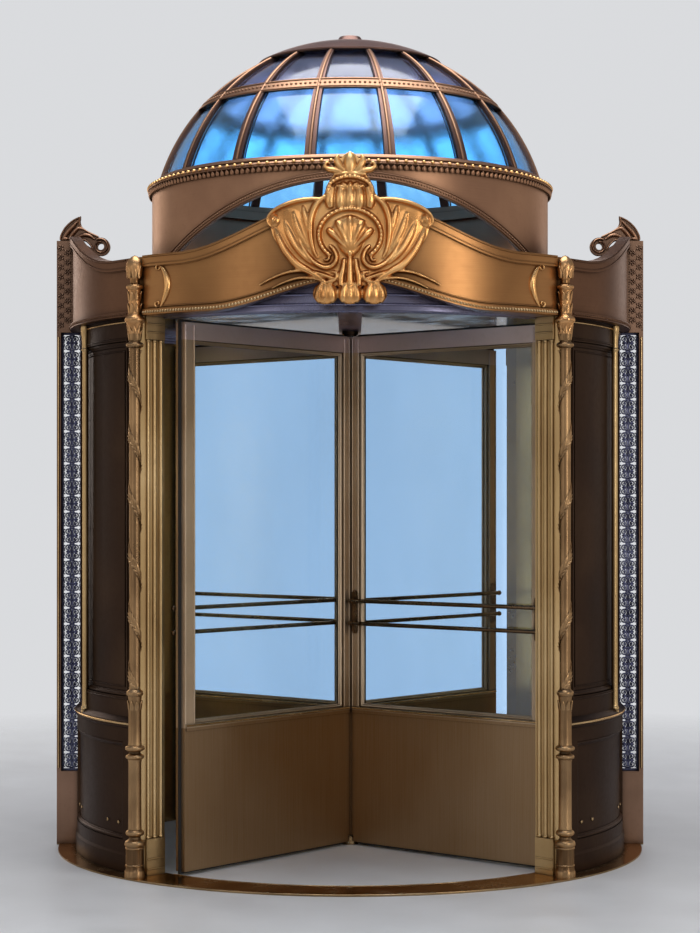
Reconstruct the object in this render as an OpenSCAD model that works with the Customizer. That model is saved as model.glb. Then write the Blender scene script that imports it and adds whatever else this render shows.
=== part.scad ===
// Revolving door: four wings in a round drum, four spiral columns at its openings,
// an arched canopy with a crest, an attic ring and a glazed dome on ribs.
// The origin is on the floor on the rotor's axis. The near side is -Y, and +Z is up.

/* [Drum] */
// Inside radius of the drum
drum_r = 1067; // [1040:1:1100]
// Top of the drum's walls above the floor
wall_top = 2235; // [2150:1:2400]
// Half of the angle that each opening takes, seen from the axis
opening_half = 44.3; // [40:0.1:46]
// Thickness of a wall's panels
wall_t = 84; // [60:1:86]
// How far a wall's frame stands out over its panels
frame_proud = 18; // [8:1:20]
// Top of a wall's base
base_top = 600; // [450:1:700]
// Depth of a wall's top rail
wall_rail = 92; // [70:1:140]
// Angle that a wall's upright takes
wall_stile_arc = 3; // [2:0.1:4]
// Angle that a jamb post takes
jamb_arc = 3.2; // [2.6:0.1:3.6]
// How far a jamb post stands out over a wall's frame
jamb_proud = 3; // [2:0.5:4]
// Radius of the reeds down a jamb post
reed_r = 9; // [6:0.5:11]
// Thickness of the threshold ring
threshold_t = 6; // [4:0.5:10]

/* [Rotor] */
// Turn of the rotor at rest, past the place where two wings stand evenly in each opening
rest_turn = 4.8; // [0:0.1:20]
// Running gap between an edge seal and the drum
edge_gap = 7; // [5:0.5:10]
// Running gap under the floor brushes
foot_gap = 6; // [5:0.5:10]
// Running gap over the top brushes
head_gap = 11; // [6:0.5:16]
// Diameter of the head bearing
head_bearing_d = 72; // [60:1:80]
// Height of the floor and top brushes
brush_h = 10; // [8:0.5:16]
// Depth of an edge seal
seal_d = 8; // [5:0.5:12]
// Thickness of the seals and brushes
seal_t = 10; // [6:0.5:16]
// Width of the square shaft
shaft_w = 60; // [50:1:70]
// Diameter of the shaft's pins
pin_d = 28; // [20:0.5:36]
// Gap round a pin in its bearing
pin_gap = 0.3; // [0.2:0.05:0.5]
// Height of the floor bearing
floor_bearing_h = 38; // [30:1:50]
// Diameter of the floor bearing
floor_bearing_d = 76; // [66:1:84]
// Clearance between the floor bearing and what turns over it
bearing_clear = 7; // [5:0.5:10]

/* [Wings] */
// Thickness of a wing
wing_t = 48; // [40:1:56]
// Width of the stile along the shaft
inner_stile = 42; // [36:1:60]
// Width of the stile at the outer edge
outer_stile = 60; // [50:1:80]
// Depth of a wing's top rail
wing_rail = 70; // [50:1:100]
// Top of a wing's kick panel above the floor
kick_top = 604; // [500:1:700]
// Height of the band along the top of a kick panel
band_h = 26; // [16:1:40]
// How far that band stands out
band_proud = 5; // [2:0.5:8]
// Thickness of the wing glass
glass_t = 12; // [8:1:16]
// Clearance round a pane in its frame
pane_gap = 0.3; // [0.2:0.05:0.5]

/* [Push bars] */
// Diameter of a push bar
bar_d = 18; // [14:0.5:24]
// Height of the upper push bar
bar_z = 1066; // [950:1:1150]
// Distance between the two push bars
bar_pitch = 98; // [70:1:140]
// Distance of the bars from a wing's middle plane
bar_reach = 52; // [46:1:60]
// Diameter of a bar's end posts
post_d = 13; // [10:0.5:13.5]
// Width of the plate under each pair of posts
plate_w = 34; // [24:1:35]
// Thickness of that plate
plate_t = 5; // [3:0.5:8]
// How far that plate reaches past each bar's middle
plate_over = 44; // [30:1:60]

/* [Columns] */
// Gap between a column's rings and the jamb post
column_gap = 9; // [2:0.5:17]
// Angle of a column from the line through both openings
column_angle = 44.3; // [42:0.1:48]
// Diameter of a column's shaft
column_d = 54; // [44:1:58]
// Diameter of its rings and pedestal
column_ring_d = 82; // [70:1:86]
// Top of the pedestal
pedestal_top = 150; // [100:1:200]
// Height of the pair of rings low on a column
low_ring_z = 480; // [300:5:620]
// Foot of the wound stretch
wound_z0 = 750; // [700:5:800]
// Distance from the top of the wound stretch up to the top of the drum's walls
wound_drop = 130; // [110:5:340]
// Height of one turn of the winding
wound_pitch = 237; // [150:1:400]
// How far a column's finial stands over the drum's walls
column_over = 238; // [205:1:265]

/* [Side piers] */
// Width of the grille's place in a side pier
grille_w = 90; // [80:1:130]
// Width of a pier
pier_w = 60; // [50:1:80]
// Top of a pier's solid base
pier_base_top = 320; // [200:1:450]
// Width of the pier's bead and outer post
pier_post_w = 18; // [12:1:22]
// Thickness of the lace grille
grille_t = 10; // [6:1:20]
// Height of a pier's scroll finial
pier_finial_h = 110; // [80:1:160]
// Thickness of that scroll
scroll_t = 28; // [20:1:40]

/* [Canopy] */
// How far the inside of the canopy's band lies outside the drum's frame
band_set = 6; // [6:1:11]
// Thickness of the band
canopy_t = 28; // [22:1:30]
// Depth of the mouldings on the band
moulding_d = 12; // [8:0.5:14]
// How far the arch rises over the drum's walls
arch_rise = 110; // [80:1:130]
// Half of the arch's width
arch_half = 560; // [500:5:620]
// Height of the band at its low places
canopy_h = 235; // [225:1:285]
// How far the band's top rises in the middle of each opening
crown_rise = 172; // [100:1:200]
// Half of the width of the crown of the band
crown_half = 680; // [600:5:720]
// Half of the width of the band's level middle
crown_flat = 80; // [40:5:120]
// How far the band's top rises over each side pier
side_rise = 170; // [100:1:180]
// Half of the width of that rise
side_half = 760; // [700:5:790]
// Half of the width of its level middle
side_flat = 150; // [80:5:200]
// Height of the moulding along the band's top
rim_h = 44; // [30:1:60]
// Height of the moulding along the band's foot
lip_h = 20; // [14:1:30]
// How far the ceiling ring reaches in over the drum
ceiling_ledge = 67; // [57:1:107]
// Height of the ceiling ring
ceiling_t = 115; // [90:1:130]
// Width of each step in the ceiling ring's soffit
soffit_step = 14; // [8:1:20]
// Height of the ceiling's glass over the top of the drum's walls
ceiling_glass_up = 32; // [24:1:60]
// Width of the bearing beam
beam_w = 96; // [80:1:120]
// Thickness of the ceiling's glass
ceiling_glass_t = 8; // [6:1:12]
// How far the canopy's deck lies over the drum's walls
deck_rise = 210; // [190:1:225]
// Thickness of the deck
deck_t = 20; // [12:1:30]

/* [Attic and dome] */
// How far the cornice stands out over the attic's wall
cornice_proud = 16; // [8:1:30]
// Thickness of the attic's wall
attic_t = 35; // [25:1:45]
// Height of the attic's wall
attic_h = 372; // [360:1:455]
// Angle from the middle of an opening to where its round arch meets the deck
eyebrow_reach = 68.8; // [60:0.1:72]
// Distance from the top of that arch up to the top of the attic's wall
eyebrow_drop = 36; // [30:1:90]
// Width of the raised trim round that arch
trim_w = 27; // [20:1:34]
// How far the trim stands out
trim_proud = 9; // [5:0.5:14]
// How far the cornice reaches out beyond the dome's curb
curb_set = 28; // [12:1:60]
// Height of the cornice
cornice_h = 38; // [30:1:60]
// How far the cornice reaches in beyond the curb
curb_ledge = 6; // [3:1:20]
// Outer radius of the dome
dome_r = 868; // [850:1:880]
// How far the dome's centre lies under its curb
dome_drop = 232; // [170:1:250]
// Thickness of the dome's ribs
rib_t = 30; // [20:1:40]
// Angle that a rib takes
rib_arc = 3.1; // [2:0.1:4]
// Count of ribs
rib_count = 16; // [12:2:24]
// How far the dome's curb stands out over the ribs' feet
curb_proud = 14; // [8:1:20]
// Height of the dome's curb
curb_h = 26; // [20:1:50]
// Height above the dome's centre of the ring between the rows of panes
mid_ring_z = 560; // [450:5:600]
// Height of that ring
mid_ring_h = 48; // [25:1:60]
// Radius of the dome's crown plate
crown_r = 390; // [240:5:440]
// Thickness of the dome's glass
dome_glass_t = 6; // [4:1:8]
// Height of the boss on the crown plate
boss_h = 34; // [20:1:60]

/* [Crest] */
// Half of the width over the crest's leaves
crest_half = 300; // [240:5:340]
// How far the crest's foot hangs over the top of the drum's walls
crest_lift = 12; // [5:1:45]
// Height of the crest
crest_h = 578; // [520:2:620]
// Thickness of the crest
crest_t = 34; // [20:1:36]

/* [Hidden] */
$fn = 180;
SIDES = ["left", "right"];
FACES = ["front", "back"];
CORNERS = ["front_left", "front_right", "back_right", "back_left"];
ORDER = [1, 2, 3, 4];
seat = 0.3;
column_swell = 9;

ceiling_r = drum_r - ceiling_ledge;
wall_r = drum_r + wall_t;
frame_r = wall_r + frame_proud;
bead_r = frame_r + 3;
pier_r = bead_r + grille_w + pier_post_w;
wall_arc = 90 - opening_half;
jamb_r = frame_r + jamb_proud;
column_r = jamb_r + column_gap + column_ring_d / 2;
threshold_r = column_r + column_ring_d / 2 + 3;
wound_z1 = wall_top - wound_drop;
column_top = wall_top + column_over;

tip_r = drum_r - edge_gap;
wing_r = tip_r - seal_d;
wing_foot = foot_gap + brush_h;
brush_top = wall_top - head_gap;
wing_head = brush_top - brush_h;
shaft_foot = floor_bearing_h + bearing_clear;
notch_r = floor_bearing_d / 2 + bearing_clear;
bar_inner_r = (shaft_w + inner_stile) / 2;
bar_outer_r = wing_r - outer_stile / 2;

band_r = frame_r + band_set;
band_out = band_r + canopy_t;
moulding_r = band_out + moulding_d;
band_top = wall_top + canopy_h;
deck_top = wall_top + deck_rise;
dome_foot_r = sqrt(dome_r * dome_r - dome_drop * dome_drop);
curb_in = dome_foot_r - rib_t - 6;
curb_out = dome_foot_r + curb_proud;
cornice_in = curb_in - curb_ledge;
cornice_r = curb_out + curb_set;
attic_r = cornice_r - cornice_proud;
attic_top = deck_top + attic_h;
eyebrow_top = attic_top - eyebrow_drop;
eyebrow_rise = eyebrow_top - deck_top;
eyebrow_half = attic_r * sin(eyebrow_reach);
eyebrow_r = (eyebrow_half * eyebrow_half + eyebrow_rise * eyebrow_rise) / (2 * eyebrow_rise);
curb_z = attic_top + cornice_h;
dome_z = curb_z - dome_drop;
crest_foot = wall_top + crest_lift;
head_ring_z = sqrt(dome_r * dome_r - crown_r * crown_r) - 4;
out_of_the_way = 1.3 * pier_r;
beam_z0 = wall_top + 5;
head_bearing_z = wing_head + bearing_clear;
beam_z1 = wall_top + ceiling_t;
ledge_r = drum_r + 38;

gold = [0.72, 0.56, 0.29];
pale_gold = [0.84, 0.72, 0.46];
bronze = [0.24, 0.18, 0.12];
olive = [0.40, 0.32, 0.19];
clear_glass = [0.70, 0.80, 0.85, 0.35];
blue_glass = [0.42, 0.62, 0.85, 0.45];
iron = [0.42, 0.45, 0.50];
black = [0.08, 0.08, 0.08];

// A smooth rise from 0 to 1 and level in the middle
function bell(u, flat, half) =
    (1 + cos(180 * min(1, max(0, (abs(u) - flat) / (half - flat))))) / 2;
function arch_z(u) = wall_top + arch_rise * bell(u, 0, arch_half);
function crown_z(u) = band_top + crown_rise * bell(u, crown_flat, crown_half);
function side_z(u) = band_top - 5 + side_rise * bell(u, side_flat, side_half);
// Turn of wing k about the axis
function wing_turn(k) = -45 + rest_turn + 90 * (k - 1);

// Part of a ring about the axis, between two angles in degrees from +X
module arc_block(r0, r1, z0, z1, a0, a1) {
    rotate([0, 0, a0])
        rotate_extrude(angle = a1 - a0)
            translate([r0, z0])
                square([r1 - r0, z1 - z0]);
}

module ring(r0, r1, z0, z1) {
    translate([0, 0, z0])
        difference() {
            cylinder(r = r1, h = z1 - z0);
            translate([0, 0, -1])
                cylinder(r = r0, h = z1 - z0 + 2);
        }
}

// Puts a child that is drawn for the near right corner into one of the four corners
module in_corner(c) {
    mirror([c == "front_left" || c == "back_left" ? 1 : 0, 0, 0])
        mirror([0, c == "back_left" || c == "back_right" ? 1 : 0, 0])
            children();
}

module on_side(s) {
    mirror([s == "left" ? 1 : 0, 0, 0])
        children();
}

module on_face(f) {
    mirror([0, f == "back" ? 1 : 0, 0])
        children();
}

module threshold_ring() {
    ear = pier_w / 2;
    color(gold)
        union() {
            ring(drum_r, threshold_r, 0, threshold_t);
            for (s = SIDES)
                on_side(s)
                    translate([threshold_r - 20, -ear, 0])
                        cube([pier_r - threshold_r + 20, pier_w, threshold_t]);
        }
}

module floor_bearing() {
    color(pale_gold)
        difference() {
            union() {
                cylinder(d = floor_bearing_d, h = floor_bearing_h - 6);
                cylinder(d = floor_bearing_d - 10, h = floor_bearing_h);
            }
            translate([0, 0, 3])
                cylinder(d = pin_d + 2 * pin_gap, h = floor_bearing_h);
        }
}

// A quarter of the drum's wall, from the side pier to the jamb of one opening
module wall() {
    a0 = -wall_arc + jamb_arc;
    panel_a0 = a0 + wall_stile_arc;
    panel_a1 = -wall_stile_arc - asin(pier_w / 2 / frame_r);
    foot = threshold_t;
    base_r = frame_r + 16;
    color(bronze)
        difference() {
            rotate([0, 0, a0])
                rotate_extrude(angle = -a0)
                    polygon([
                        [drum_r, foot],
                        [base_r + 6, foot],
                        [base_r + 6, foot + 70],
                        [base_r, foot + 80],
                        [base_r, base_top - 14],
                        [base_r + 6, base_top - 8],
                        [base_r + 6, base_top + 12],
                        [frame_r, base_top + 30],
                        [frame_r, wall_top],
                        [drum_r, wall_top]
                    ]);
            arc_block(wall_r, frame_r + 60, base_top + 110, wall_top - wall_rail,
                panel_a0, panel_a1);
            arc_block(frame_r + 2, frame_r + 60, foot + 130, base_top - 70,
                panel_a0, panel_a1);
            translate([drum_r - 100, -pier_w / 2, 0])
                cube([300, pier_w, wall_top + 1]);
            rotate([0, 0, column_angle - 90])
                translate([column_r, 0, 0])
                    cylinder(r = column_ring_d / 2 + 3, h = wall_top + 1);
        }
}

// The post at the edge of an opening, with reeds down the face that people pass
module jamb() {
    a0 = -wall_arc;
    a1 = a0 + jamb_arc;
    foot = threshold_t;
    reeds = [for (i = [0 : 2]) drum_r + 22 + i * (wall_t + frame_proud - 36) / 2];
    color(gold)
        difference() {
            union() {
                arc_block(drum_r, jamb_r, foot, wall_top, a0, a1);
                for (r = reeds)
                    rotate([0, 0, a0])
                        translate([r, 0, foot])
                            cylinder(r = reed_r, h = wall_top - foot);
                rotate([0, 0, a0])
                    translate([drum_r + 8, -reed_r - 3, foot])
                        cube([jamb_r - drum_r - 12, reed_r + 8, pedestal_top - foot]);
                rotate([0, 0, a0])
                    translate([drum_r + 8, -reed_r - 3, wall_top - wall_rail])
                        cube([jamb_r - drum_r - 12, reed_r + 8, wall_rail]);
            }
            arc_block(drum_r + 25, jamb_r + 60, foot - 1, wall_top + 1, a1, a1 + 3);
        }
}

// The winding: a round core with one slim stem that climbs round it
module wound_shaft(h) {
    linear_extrude(height = h, twist = -360 * h / wound_pitch, slices = round(h / 24), $fn = 10)
        union() {
            circle(d = column_d - 10, $fn = 12);
            translate([column_d * 0.42, 0])
                circle(r = column_d * 0.12, $fn = 6);
        }
}

module column() {
    shaft_r = column_d / 2;
    ring_r = column_ring_d / 2;
    neck = shaft_r * 0.8;
    color(gold)
        rotate([0, 0, column_angle - 90])
            translate([column_r, 0, 0])
                union() {
                    rotate_extrude()
                        polygon([
                            [0, threshold_t],
                            [ring_r, threshold_t],
                            [ring_r, 34],
                            [ring_r - 5, 42],
                            [ring_r - 5, pedestal_top - 22],
                            [ring_r, pedestal_top - 14],
                            [ring_r, pedestal_top],
                            [neck, pedestal_top + 10],
                            [neck, pedestal_top + 20],
                            [ring_r - 4, pedestal_top + 28],
                            [ring_r - 4, pedestal_top + 42],
                            [shaft_r, pedestal_top + 52],
                            [shaft_r, low_ring_z - 6],
                            [ring_r - 4, low_ring_z],
                            [ring_r - 4, low_ring_z + 12],
                            [neck, low_ring_z + 20],
                            [ring_r - 2, low_ring_z + 30],
                            [ring_r - 2, low_ring_z + 46],
                            [shaft_r, low_ring_z + 54],
                            [shaft_r, wound_z0 - 24],
                            [shaft_r + 7, wound_z0 - 18],
                            [shaft_r + 7, wound_z0 - 6],
                            [neck, wound_z0],
                            [neck, wound_z0 + 1],
                            [0, wound_z0 + 1]
                        ]);
                    translate([0, 0, wound_z0])
                        wound_shaft(wound_z1 - wound_z0);
                    rotate_extrude()
                        polygon([
                            [0, wound_z1 - 1],
                            [neck, wound_z1 - 1],
                            [shaft_r + 8, wound_z1 + 8],
                            [shaft_r + 8, wound_z1 + 22],
                            [neck, wound_z1 + 30],
                            [ring_r - 9, wound_z1 + 92],
                            [ring_r - 1, wound_z1 + 104],
                            [ring_r - 1, wound_z1 + 122],
                            [shaft_r, wound_z1 + 134],
                            [shaft_r, wound_z1 + 226],
                            [shaft_r + column_swell - 1, wound_z1 + 234],
                            [shaft_r + column_swell - 1, wound_z1 + 246],
                            [neck - 4, wound_z1 + 254],
                            [neck - 4, wound_z1 + 270],
                            [shaft_r + 4, wound_z1 + 292],
                            [shaft_r + column_swell, wound_z1 + 315],
                            [shaft_r + 3, column_top - 28],
                            [8, column_top - 8],
                            [0, column_top]
                        ]);
                }
}

// A side pier closes the joint of two wall quarters and carries the end of the canopy
module side_pier() {
    foot = threshold_t;
    post_x = pier_r - pier_post_w;
    head_x = band_out + seat;
    color(bronze)
        union() {
            difference() {
                translate([0, pier_w / 2, 0])
                    rotate([90, 0, 0])
                        linear_extrude(height = pier_w)
                            polygon([
                                [drum_r - 20, foot],
                                [pier_r, foot],
                                [pier_r, side_z(0)],
                                [head_x, side_z(0)],
                                [head_x, wall_top],
                                [post_x, wall_top],
                                [post_x, pier_base_top],
                                [bead_r, pier_base_top],
                                [bead_r, wall_top],
                                [drum_r - 20, wall_top]
                            ]);
                cylinder(r = drum_r, h = wall_top + 1);
            }
            pier_finial();
        }
}

// Outline of a pier's scroll, in shares of its height, from the pier's outer top edge
SCROLL = [
    [-0.11, -0.02], [-0.14, 0.24], [-0.32, 0.56], [-0.60, 0.82], [-0.93, 1],
    [-0.86, 0.76], [-0.94, 0.55], [-1.16, 0.38], [-1.42, 0.25], [-1.58, 0.18],
    [-1.72, 0.14], [-1.42, -0.33], [-1.35, -0.18], [-1.24, -0.06],
    [-1.10, 0.03], [-0.69, 0.04], [-0.69, -0.02]
];

// The scroll that rises from a pier, passes over the canopy's band and curls inwards
module pier_finial() {
    translate([pier_r, scroll_t / 2, side_z(0)])
        rotate([90, 0, 0])
            linear_extrude(height = scroll_t) {
                polygon([for (p = SCROLL) pier_finial_h * p]);
                translate([-1.73 * pier_finial_h, -0.21 * pier_finial_h])
                    difference() {
                        circle(r = 0.36 * pier_finial_h);
                        circle(r = 0.13 * pier_finial_h);
                    }
            }
}

// Lace grille of rings in a frame, between a pier's bead and its outer post
module side_grille() {
    x0 = bead_r + seat;
    x1 = pier_r - pier_post_w - seat;
    z0 = pier_base_top + seat;
    z1 = wall_top - seat;
    edge = 9;
    clear_w = x1 - x0 - 2 * edge;
    count = round((z1 - z0 - 2 * edge) / clear_w);
    pitch = (z1 - z0 - 2 * edge) / count;
    color(iron)
        translate([x0, grille_t / 2, z0])
            rotate([90, 0, 0])
                linear_extrude(height = grille_t) {
                    difference() {
                        square([x1 - x0, z1 - z0]);
                        translate([edge, edge])
                            square([clear_w, z1 - z0 - 2 * edge]);
                    }
                    for (i = [0 : count - 1])
                        translate([edge + clear_w / 2, edge + (i + 0.5) * pitch])
                            difference() {
                                circle(d = pitch + 4);
                                circle(d = pitch - 8);
                            }
                }
}

// What lies under a curve over X or Y, as a wall across the whole width
module under_curve(heights, reach, low) {
    steps = len(heights) - 1;
    rotate([90, 0, 0])
        linear_extrude(height = out_of_the_way)
            polygon(concat(
                [[-reach, low]],
                [for (i = [0 : steps]) [-reach + 2 * reach * i / steps, heights[i]]],
                [[reach, low]]
            ));
}

CURVE_STEPS = 36;
function curve_u(i, reach) = -reach + 2 * reach * i / CURVE_STEPS;

// The band over an opening, arched below and crowned above
module canopy_band_arched() {
    reach = 0.75 * band_out;
    bottom = [for (i = [0 : CURVE_STEPS]) arch_z(curve_u(i, reach))];
    top = [for (i = [0 : CURVE_STEPS]) crown_z(curve_u(i, reach))];
    lip = [for (z = bottom) z + lip_h];
    low_rim = [for (z = top) z - rim_h];
    color(gold)
        union() {
            band_piece(band_r, band_out, bottom, top, reach, column_angle);
            band_piece(band_r + 10, moulding_r, bottom, lip, reach, column_angle);
            band_piece(band_r + 10, moulding_r, low_rim, top, reach, column_angle);
        }
}

// A piece of the round band between a lower and an upper curve, hollowed for the columns
module band_piece(r0, r1, lower, upper, reach, column_at) {
    difference() {
        intersection() {
            arc_block(r0, r1, wall_top - 20, band_top + 1.5 * crown_rise, -135, -45);
            under_curve(upper, reach, wall_top - 40);
        }
        under_curve(lower, reach, wall_top - 60);
        for (i = [-1, 1])
            rotate([0, 0, i * column_at - 90])
                translate([column_r, 0, wall_top - 30])
                    cylinder(r = column_d / 2 + column_swell + seat, h = 2 * canopy_h);
    }
}

// The band over a wall, level below and crowned above
module canopy_band_side() {
    reach = 0.73 * band_out;
    top = [for (i = [0 : CURVE_STEPS]) side_z(curve_u(i, reach))];
    bottom = [for (z = top) wall_top];
    lip = [for (z = top) wall_top + lip_h];
    low_rim = [for (z = top) z - rim_h];
    color(gold)
        rotate([0, 0, 90])
            difference() {
                union() {
                    band_piece(band_r, band_out, bottom, top, reach, 90 - column_angle);
                    band_piece(band_r + 10, moulding_r, bottom, lip, reach, 90 - column_angle);
                    band_piece(band_r + 10, moulding_r, low_rim, top, reach, 90 - column_angle);
                }
                translate([-pier_w / 2 - seat, -out_of_the_way, wall_top - 20])
                    cube([pier_w + 2 * seat, out_of_the_way - band_out, 2 * canopy_h + side_rise]);
            }
}

module canopy_deck() {
    color(bronze)
        ring(attic_r - attic_t - 5, band_r - seat, deck_top - deck_t, deck_top);
}

// What the arches over the openings take out of the rings behind the canopy's band
module arch_cuts() {
    reach = 0.75 * band_out;
    bottom = [for (i = [0 : CURVE_STEPS]) arch_z(curve_u(i, reach))];
    for (f = FACES)
        on_face(f)
            intersection() {
                arc_block(ledge_r - 5, band_r + 50, wall_top - 1, deck_top, -132.5, -47.5);
                under_curve(bottom, reach, wall_top - 60);
            }
}

// The ring over the drum, with its stepped soffit and the beam that holds the rotor's head
module ceiling_ring() {
    color(olive)
        difference() {
            union() {
                rotate_extrude()
                    polygon([
                        [ceiling_r, wall_top + 20],
                        [ceiling_r + soffit_step, wall_top + 20],
                        [ceiling_r + soffit_step, wall_top + 10],
                        [ceiling_r + 2 * soffit_step, wall_top + 10],
                        [ceiling_r + 2 * soffit_step, wall_top],
                        [band_r - seat, wall_top],
                        [band_r - seat, wall_top + ceiling_t],
                        [ceiling_r, wall_top + ceiling_t]
                    ]);
                translate([-beam_w / 2, -ceiling_r - 20, beam_z0])
                    cube([beam_w, 2 * ceiling_r + 40, beam_z1 - beam_z0 - 1]);
            }
            arch_cuts();
            translate([0, 0, beam_z0 - 1])
                cylinder(d = pin_d + 2 * pin_gap, h = beam_z1 - beam_z0 + 2);
        }
}

// The upright ring between the ceiling ring and the deck, behind the canopy's band
module canopy_ring() {
    color(bronze)
        difference() {
            ring(ledge_r, band_r - seat, wall_top + ceiling_t, deck_top - deck_t);
            arch_cuts();
        }
}

module head_bearing() {
    color(bronze)
        difference() {
            union() {
                translate([0, 0, head_bearing_z])
                    cylinder(d = head_bearing_d - 12, h = beam_z0 - head_bearing_z);
                translate([0, 0, head_bearing_z + 6])
                    cylinder(d = head_bearing_d, h = beam_z0 - head_bearing_z - 6);
            }
            translate([0, 0, head_bearing_z - 1])
                cylinder(d = pin_d + 2 * pin_gap, h = beam_z0);
        }
}

module ceiling_glass() {
    z0 = wall_top + ceiling_glass_up;
    color(clear_glass)
        difference() {
            translate([0, 0, z0])
                cylinder(r = ceiling_r - seat, h = ceiling_glass_t);
            translate([-beam_w / 2 - seat, -ceiling_r, z0 - 1])
                cube([beam_w + 2 * seat, 2 * ceiling_r, ceiling_glass_t + 2]);
        }
}

// Half of the attic's wall, with its round-arched opening and raised trim
module attic() {
    half_w = 2 * attic_r;
    arch_z0 = eyebrow_top - eyebrow_r;
    color(gold)
        difference() {
            union() {
                arc_block(attic_r - attic_t, attic_r, deck_top, attic_top, -180, 0);
                intersection() {
                    arc_block(attic_r - 10, attic_r + trim_proud, deck_top, attic_top - 8,
                        -179, -1);
                    translate([0, 0, arch_z0])
                        rotate([90, 0, 0])
                            cylinder(r = eyebrow_r + trim_w, h = half_w);
                }
                arc_block(attic_r - 10, attic_r + 12, deck_top, deck_top + 28, -180, 0);
            }
            translate([0, 0, arch_z0])
                rotate([90, 0, 0])
                    cylinder(r = eyebrow_r, h = half_w);
        }
}

module cornice() {
    z = attic_top;
    color(gold)
        rotate_extrude()
            polygon([
                [cornice_in, z],
                [attic_r + 2, z],
                [attic_r + 4, z + 8],
                [cornice_r - 8, z + 16],
                [cornice_r, z + 20],
                [cornice_r, z + cornice_h - 6],
                [cornice_r - 6, z + cornice_h],
                [cornice_in, z + cornice_h]
            ]);
}

// A wedge of a round shell about the dome's centre
module dome_shell(r_out, thick, arc) {
    rotate_extrude(angle = arc)
        intersection() {
            difference() {
                circle(r = r_out);
                circle(r = r_out - thick);
            }
            square([r_out + 1, r_out + 1]);
        }
}

// A level ring of the dome's shell, about the dome's centre
module dome_belt(r_out, thick, z0, z1) {
    rotate_extrude()
        intersection() {
            difference() {
                circle(r = r_out);
                circle(r = r_out - thick);
            }
            translate([0, z0])
                square([r_out + 1, z1 - z0]);
        }
}

// The dome's three level rings: curb, belt and head
module dome_rings() {
    base_z = curb_z - dome_z;
    color(gold)
        translate([0, 0, dome_z]) {
            translate([0, 0, base_z])
                rotate_extrude()
                    polygon([
                        [curb_in, 0],
                        [curb_out, 0],
                        [curb_out, curb_h - 12],
                        [curb_out - 8, curb_h],
                        [curb_in, curb_h]
                    ]);
            dome_belt(dome_r + 3, rib_t + 6, mid_ring_z, mid_ring_z + mid_ring_h);
            dome_belt(dome_r + 2, rib_t + 3, head_ring_z, head_ring_z + 28);
        }
}

// The ribs, each in two lengths between the rings
module dome_ribs() {
    rows = [[curb_z + curb_h - dome_z, mid_ring_z], [mid_ring_z + mid_ring_h, head_ring_z]];
    color(gold)
        translate([0, 0, dome_z])
            for (i = [0 : rib_count - 1])
                for (row = rows)
                    rotate([0, 0, (i + 0.5) * 360 / rib_count - rib_arc / 2])
                        intersection() {
                            dome_shell(dome_r, rib_t, rib_arc);
                            translate([0, 0, row[0]])
                                cylinder(r = dome_r + 50, h = row[1] - row[0]);
                        }
}

// The panes in two rows between the ribs
module dome_glass() {
    base_z = curb_z + curb_h - dome_z;
    bay = 360 / rib_count;
    gap_arc = 0.06;
    rows = [[base_z + seat, mid_ring_z - seat], [mid_ring_z + mid_ring_h + seat, head_ring_z - seat]];
    color(blue_glass)
        translate([0, 0, dome_z])
            for (i = [0 : rib_count - 1])
                for (row = rows)
                    rotate([0, 0, (i + 0.5) * bay + rib_arc / 2 + gap_arc])
                        intersection() {
                            dome_shell(dome_r - rib_t / 2, dome_glass_t, bay - rib_arc - 2 * gap_arc);
                            translate([0, 0, row[0]])
                                cylinder(r = dome_r + 50, h = row[1] - row[0]);
                        }
}

module dome_crown() {
    shell_r = dome_r + 2 + seat;
    color(gold)
        translate([0, 0, dome_z])
            union() {
                rotate_extrude()
                    intersection() {
                        difference() {
                            circle(r = shell_r + 8);
                            circle(r = shell_r);
                        }
                        translate([0, head_ring_z + 4])
                            square([crown_r + 10, 200]);
                    }
                translate([0, 0, shell_r + 1])
                    cylinder(r1 = 70, r2 = 46, h = boss_h);
            }
}

// The carved crest over an opening: an oval boss in a raised ring, on feet, with a leaf
// to each side and a finial
module crest() {
    relief = crest_t / 3;
    color(pale_gold)
        union() {
            crest_layer(0, relief)
                crest_outline();
            crest_layer(relief - 2, 2 * relief)
                crest_raised();
            crest_layer(2 * relief - 2, crest_t)
                crest_ring();
        }
}

// What an outline, drawn from the crest's foot up, cuts from a round layer of the crest
module crest_layer(low, high) {
    back_r = moulding_r + seat;
    intersection() {
        arc_block(back_r + low, back_r + high, crest_foot - 10, crest_foot + crest_h + 10,
            -115, -65);
        translate([0, -0.7 * band_r, crest_foot])
            rotate([90, 0, 0])
                linear_extrude(height = 0.4 * band_r)
                    children();
    }
}

module crest_outline() {
    for (i = [-1, 1])
        scale([i, 1]) {
            polygon([
                [-1, crest_h * 0.1],
                [crest_half * 0.34, crest_h * 0.13],
                [crest_half * 0.5, crest_h * 0.2],
                [crest_half * 0.7, crest_h * 0.26],
                [crest_half * 0.88, crest_h * 0.37],
                [crest_half, crest_h * 0.5],
                [crest_half * 1.04, crest_h * 0.58],
                [crest_half * 0.9, crest_h * 0.645],
                [crest_half * 0.62, crest_h * 0.68],
                [crest_half * 0.3, crest_h * 0.67],
                [-1, crest_h * 0.7]
            ]);
            translate([crest_half * 0.94, crest_h * 0.58])
                circle(r = crest_half * 0.11);
            translate([crest_half * 0.31, crest_h * 0.08])
                circle(r = crest_h * 0.078);
            translate([crest_half * 0.17, crest_h * 0.9])
                circle(r = crest_half * 0.09);
        }
    circle_z = crest_h * 0.085;
    translate([0, circle_z])
        circle(r = circle_z - 1);
    translate([-crest_half * 0.28, crest_h * 0.6])
        square([crest_half * 0.56, crest_h * 0.17]);
    translate([0, crest_h * 0.75])
        circle(r = crest_half * 0.285);
    translate([0, crest_h * 0.92])
        circle(r = crest_h * 0.08);
}

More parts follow.
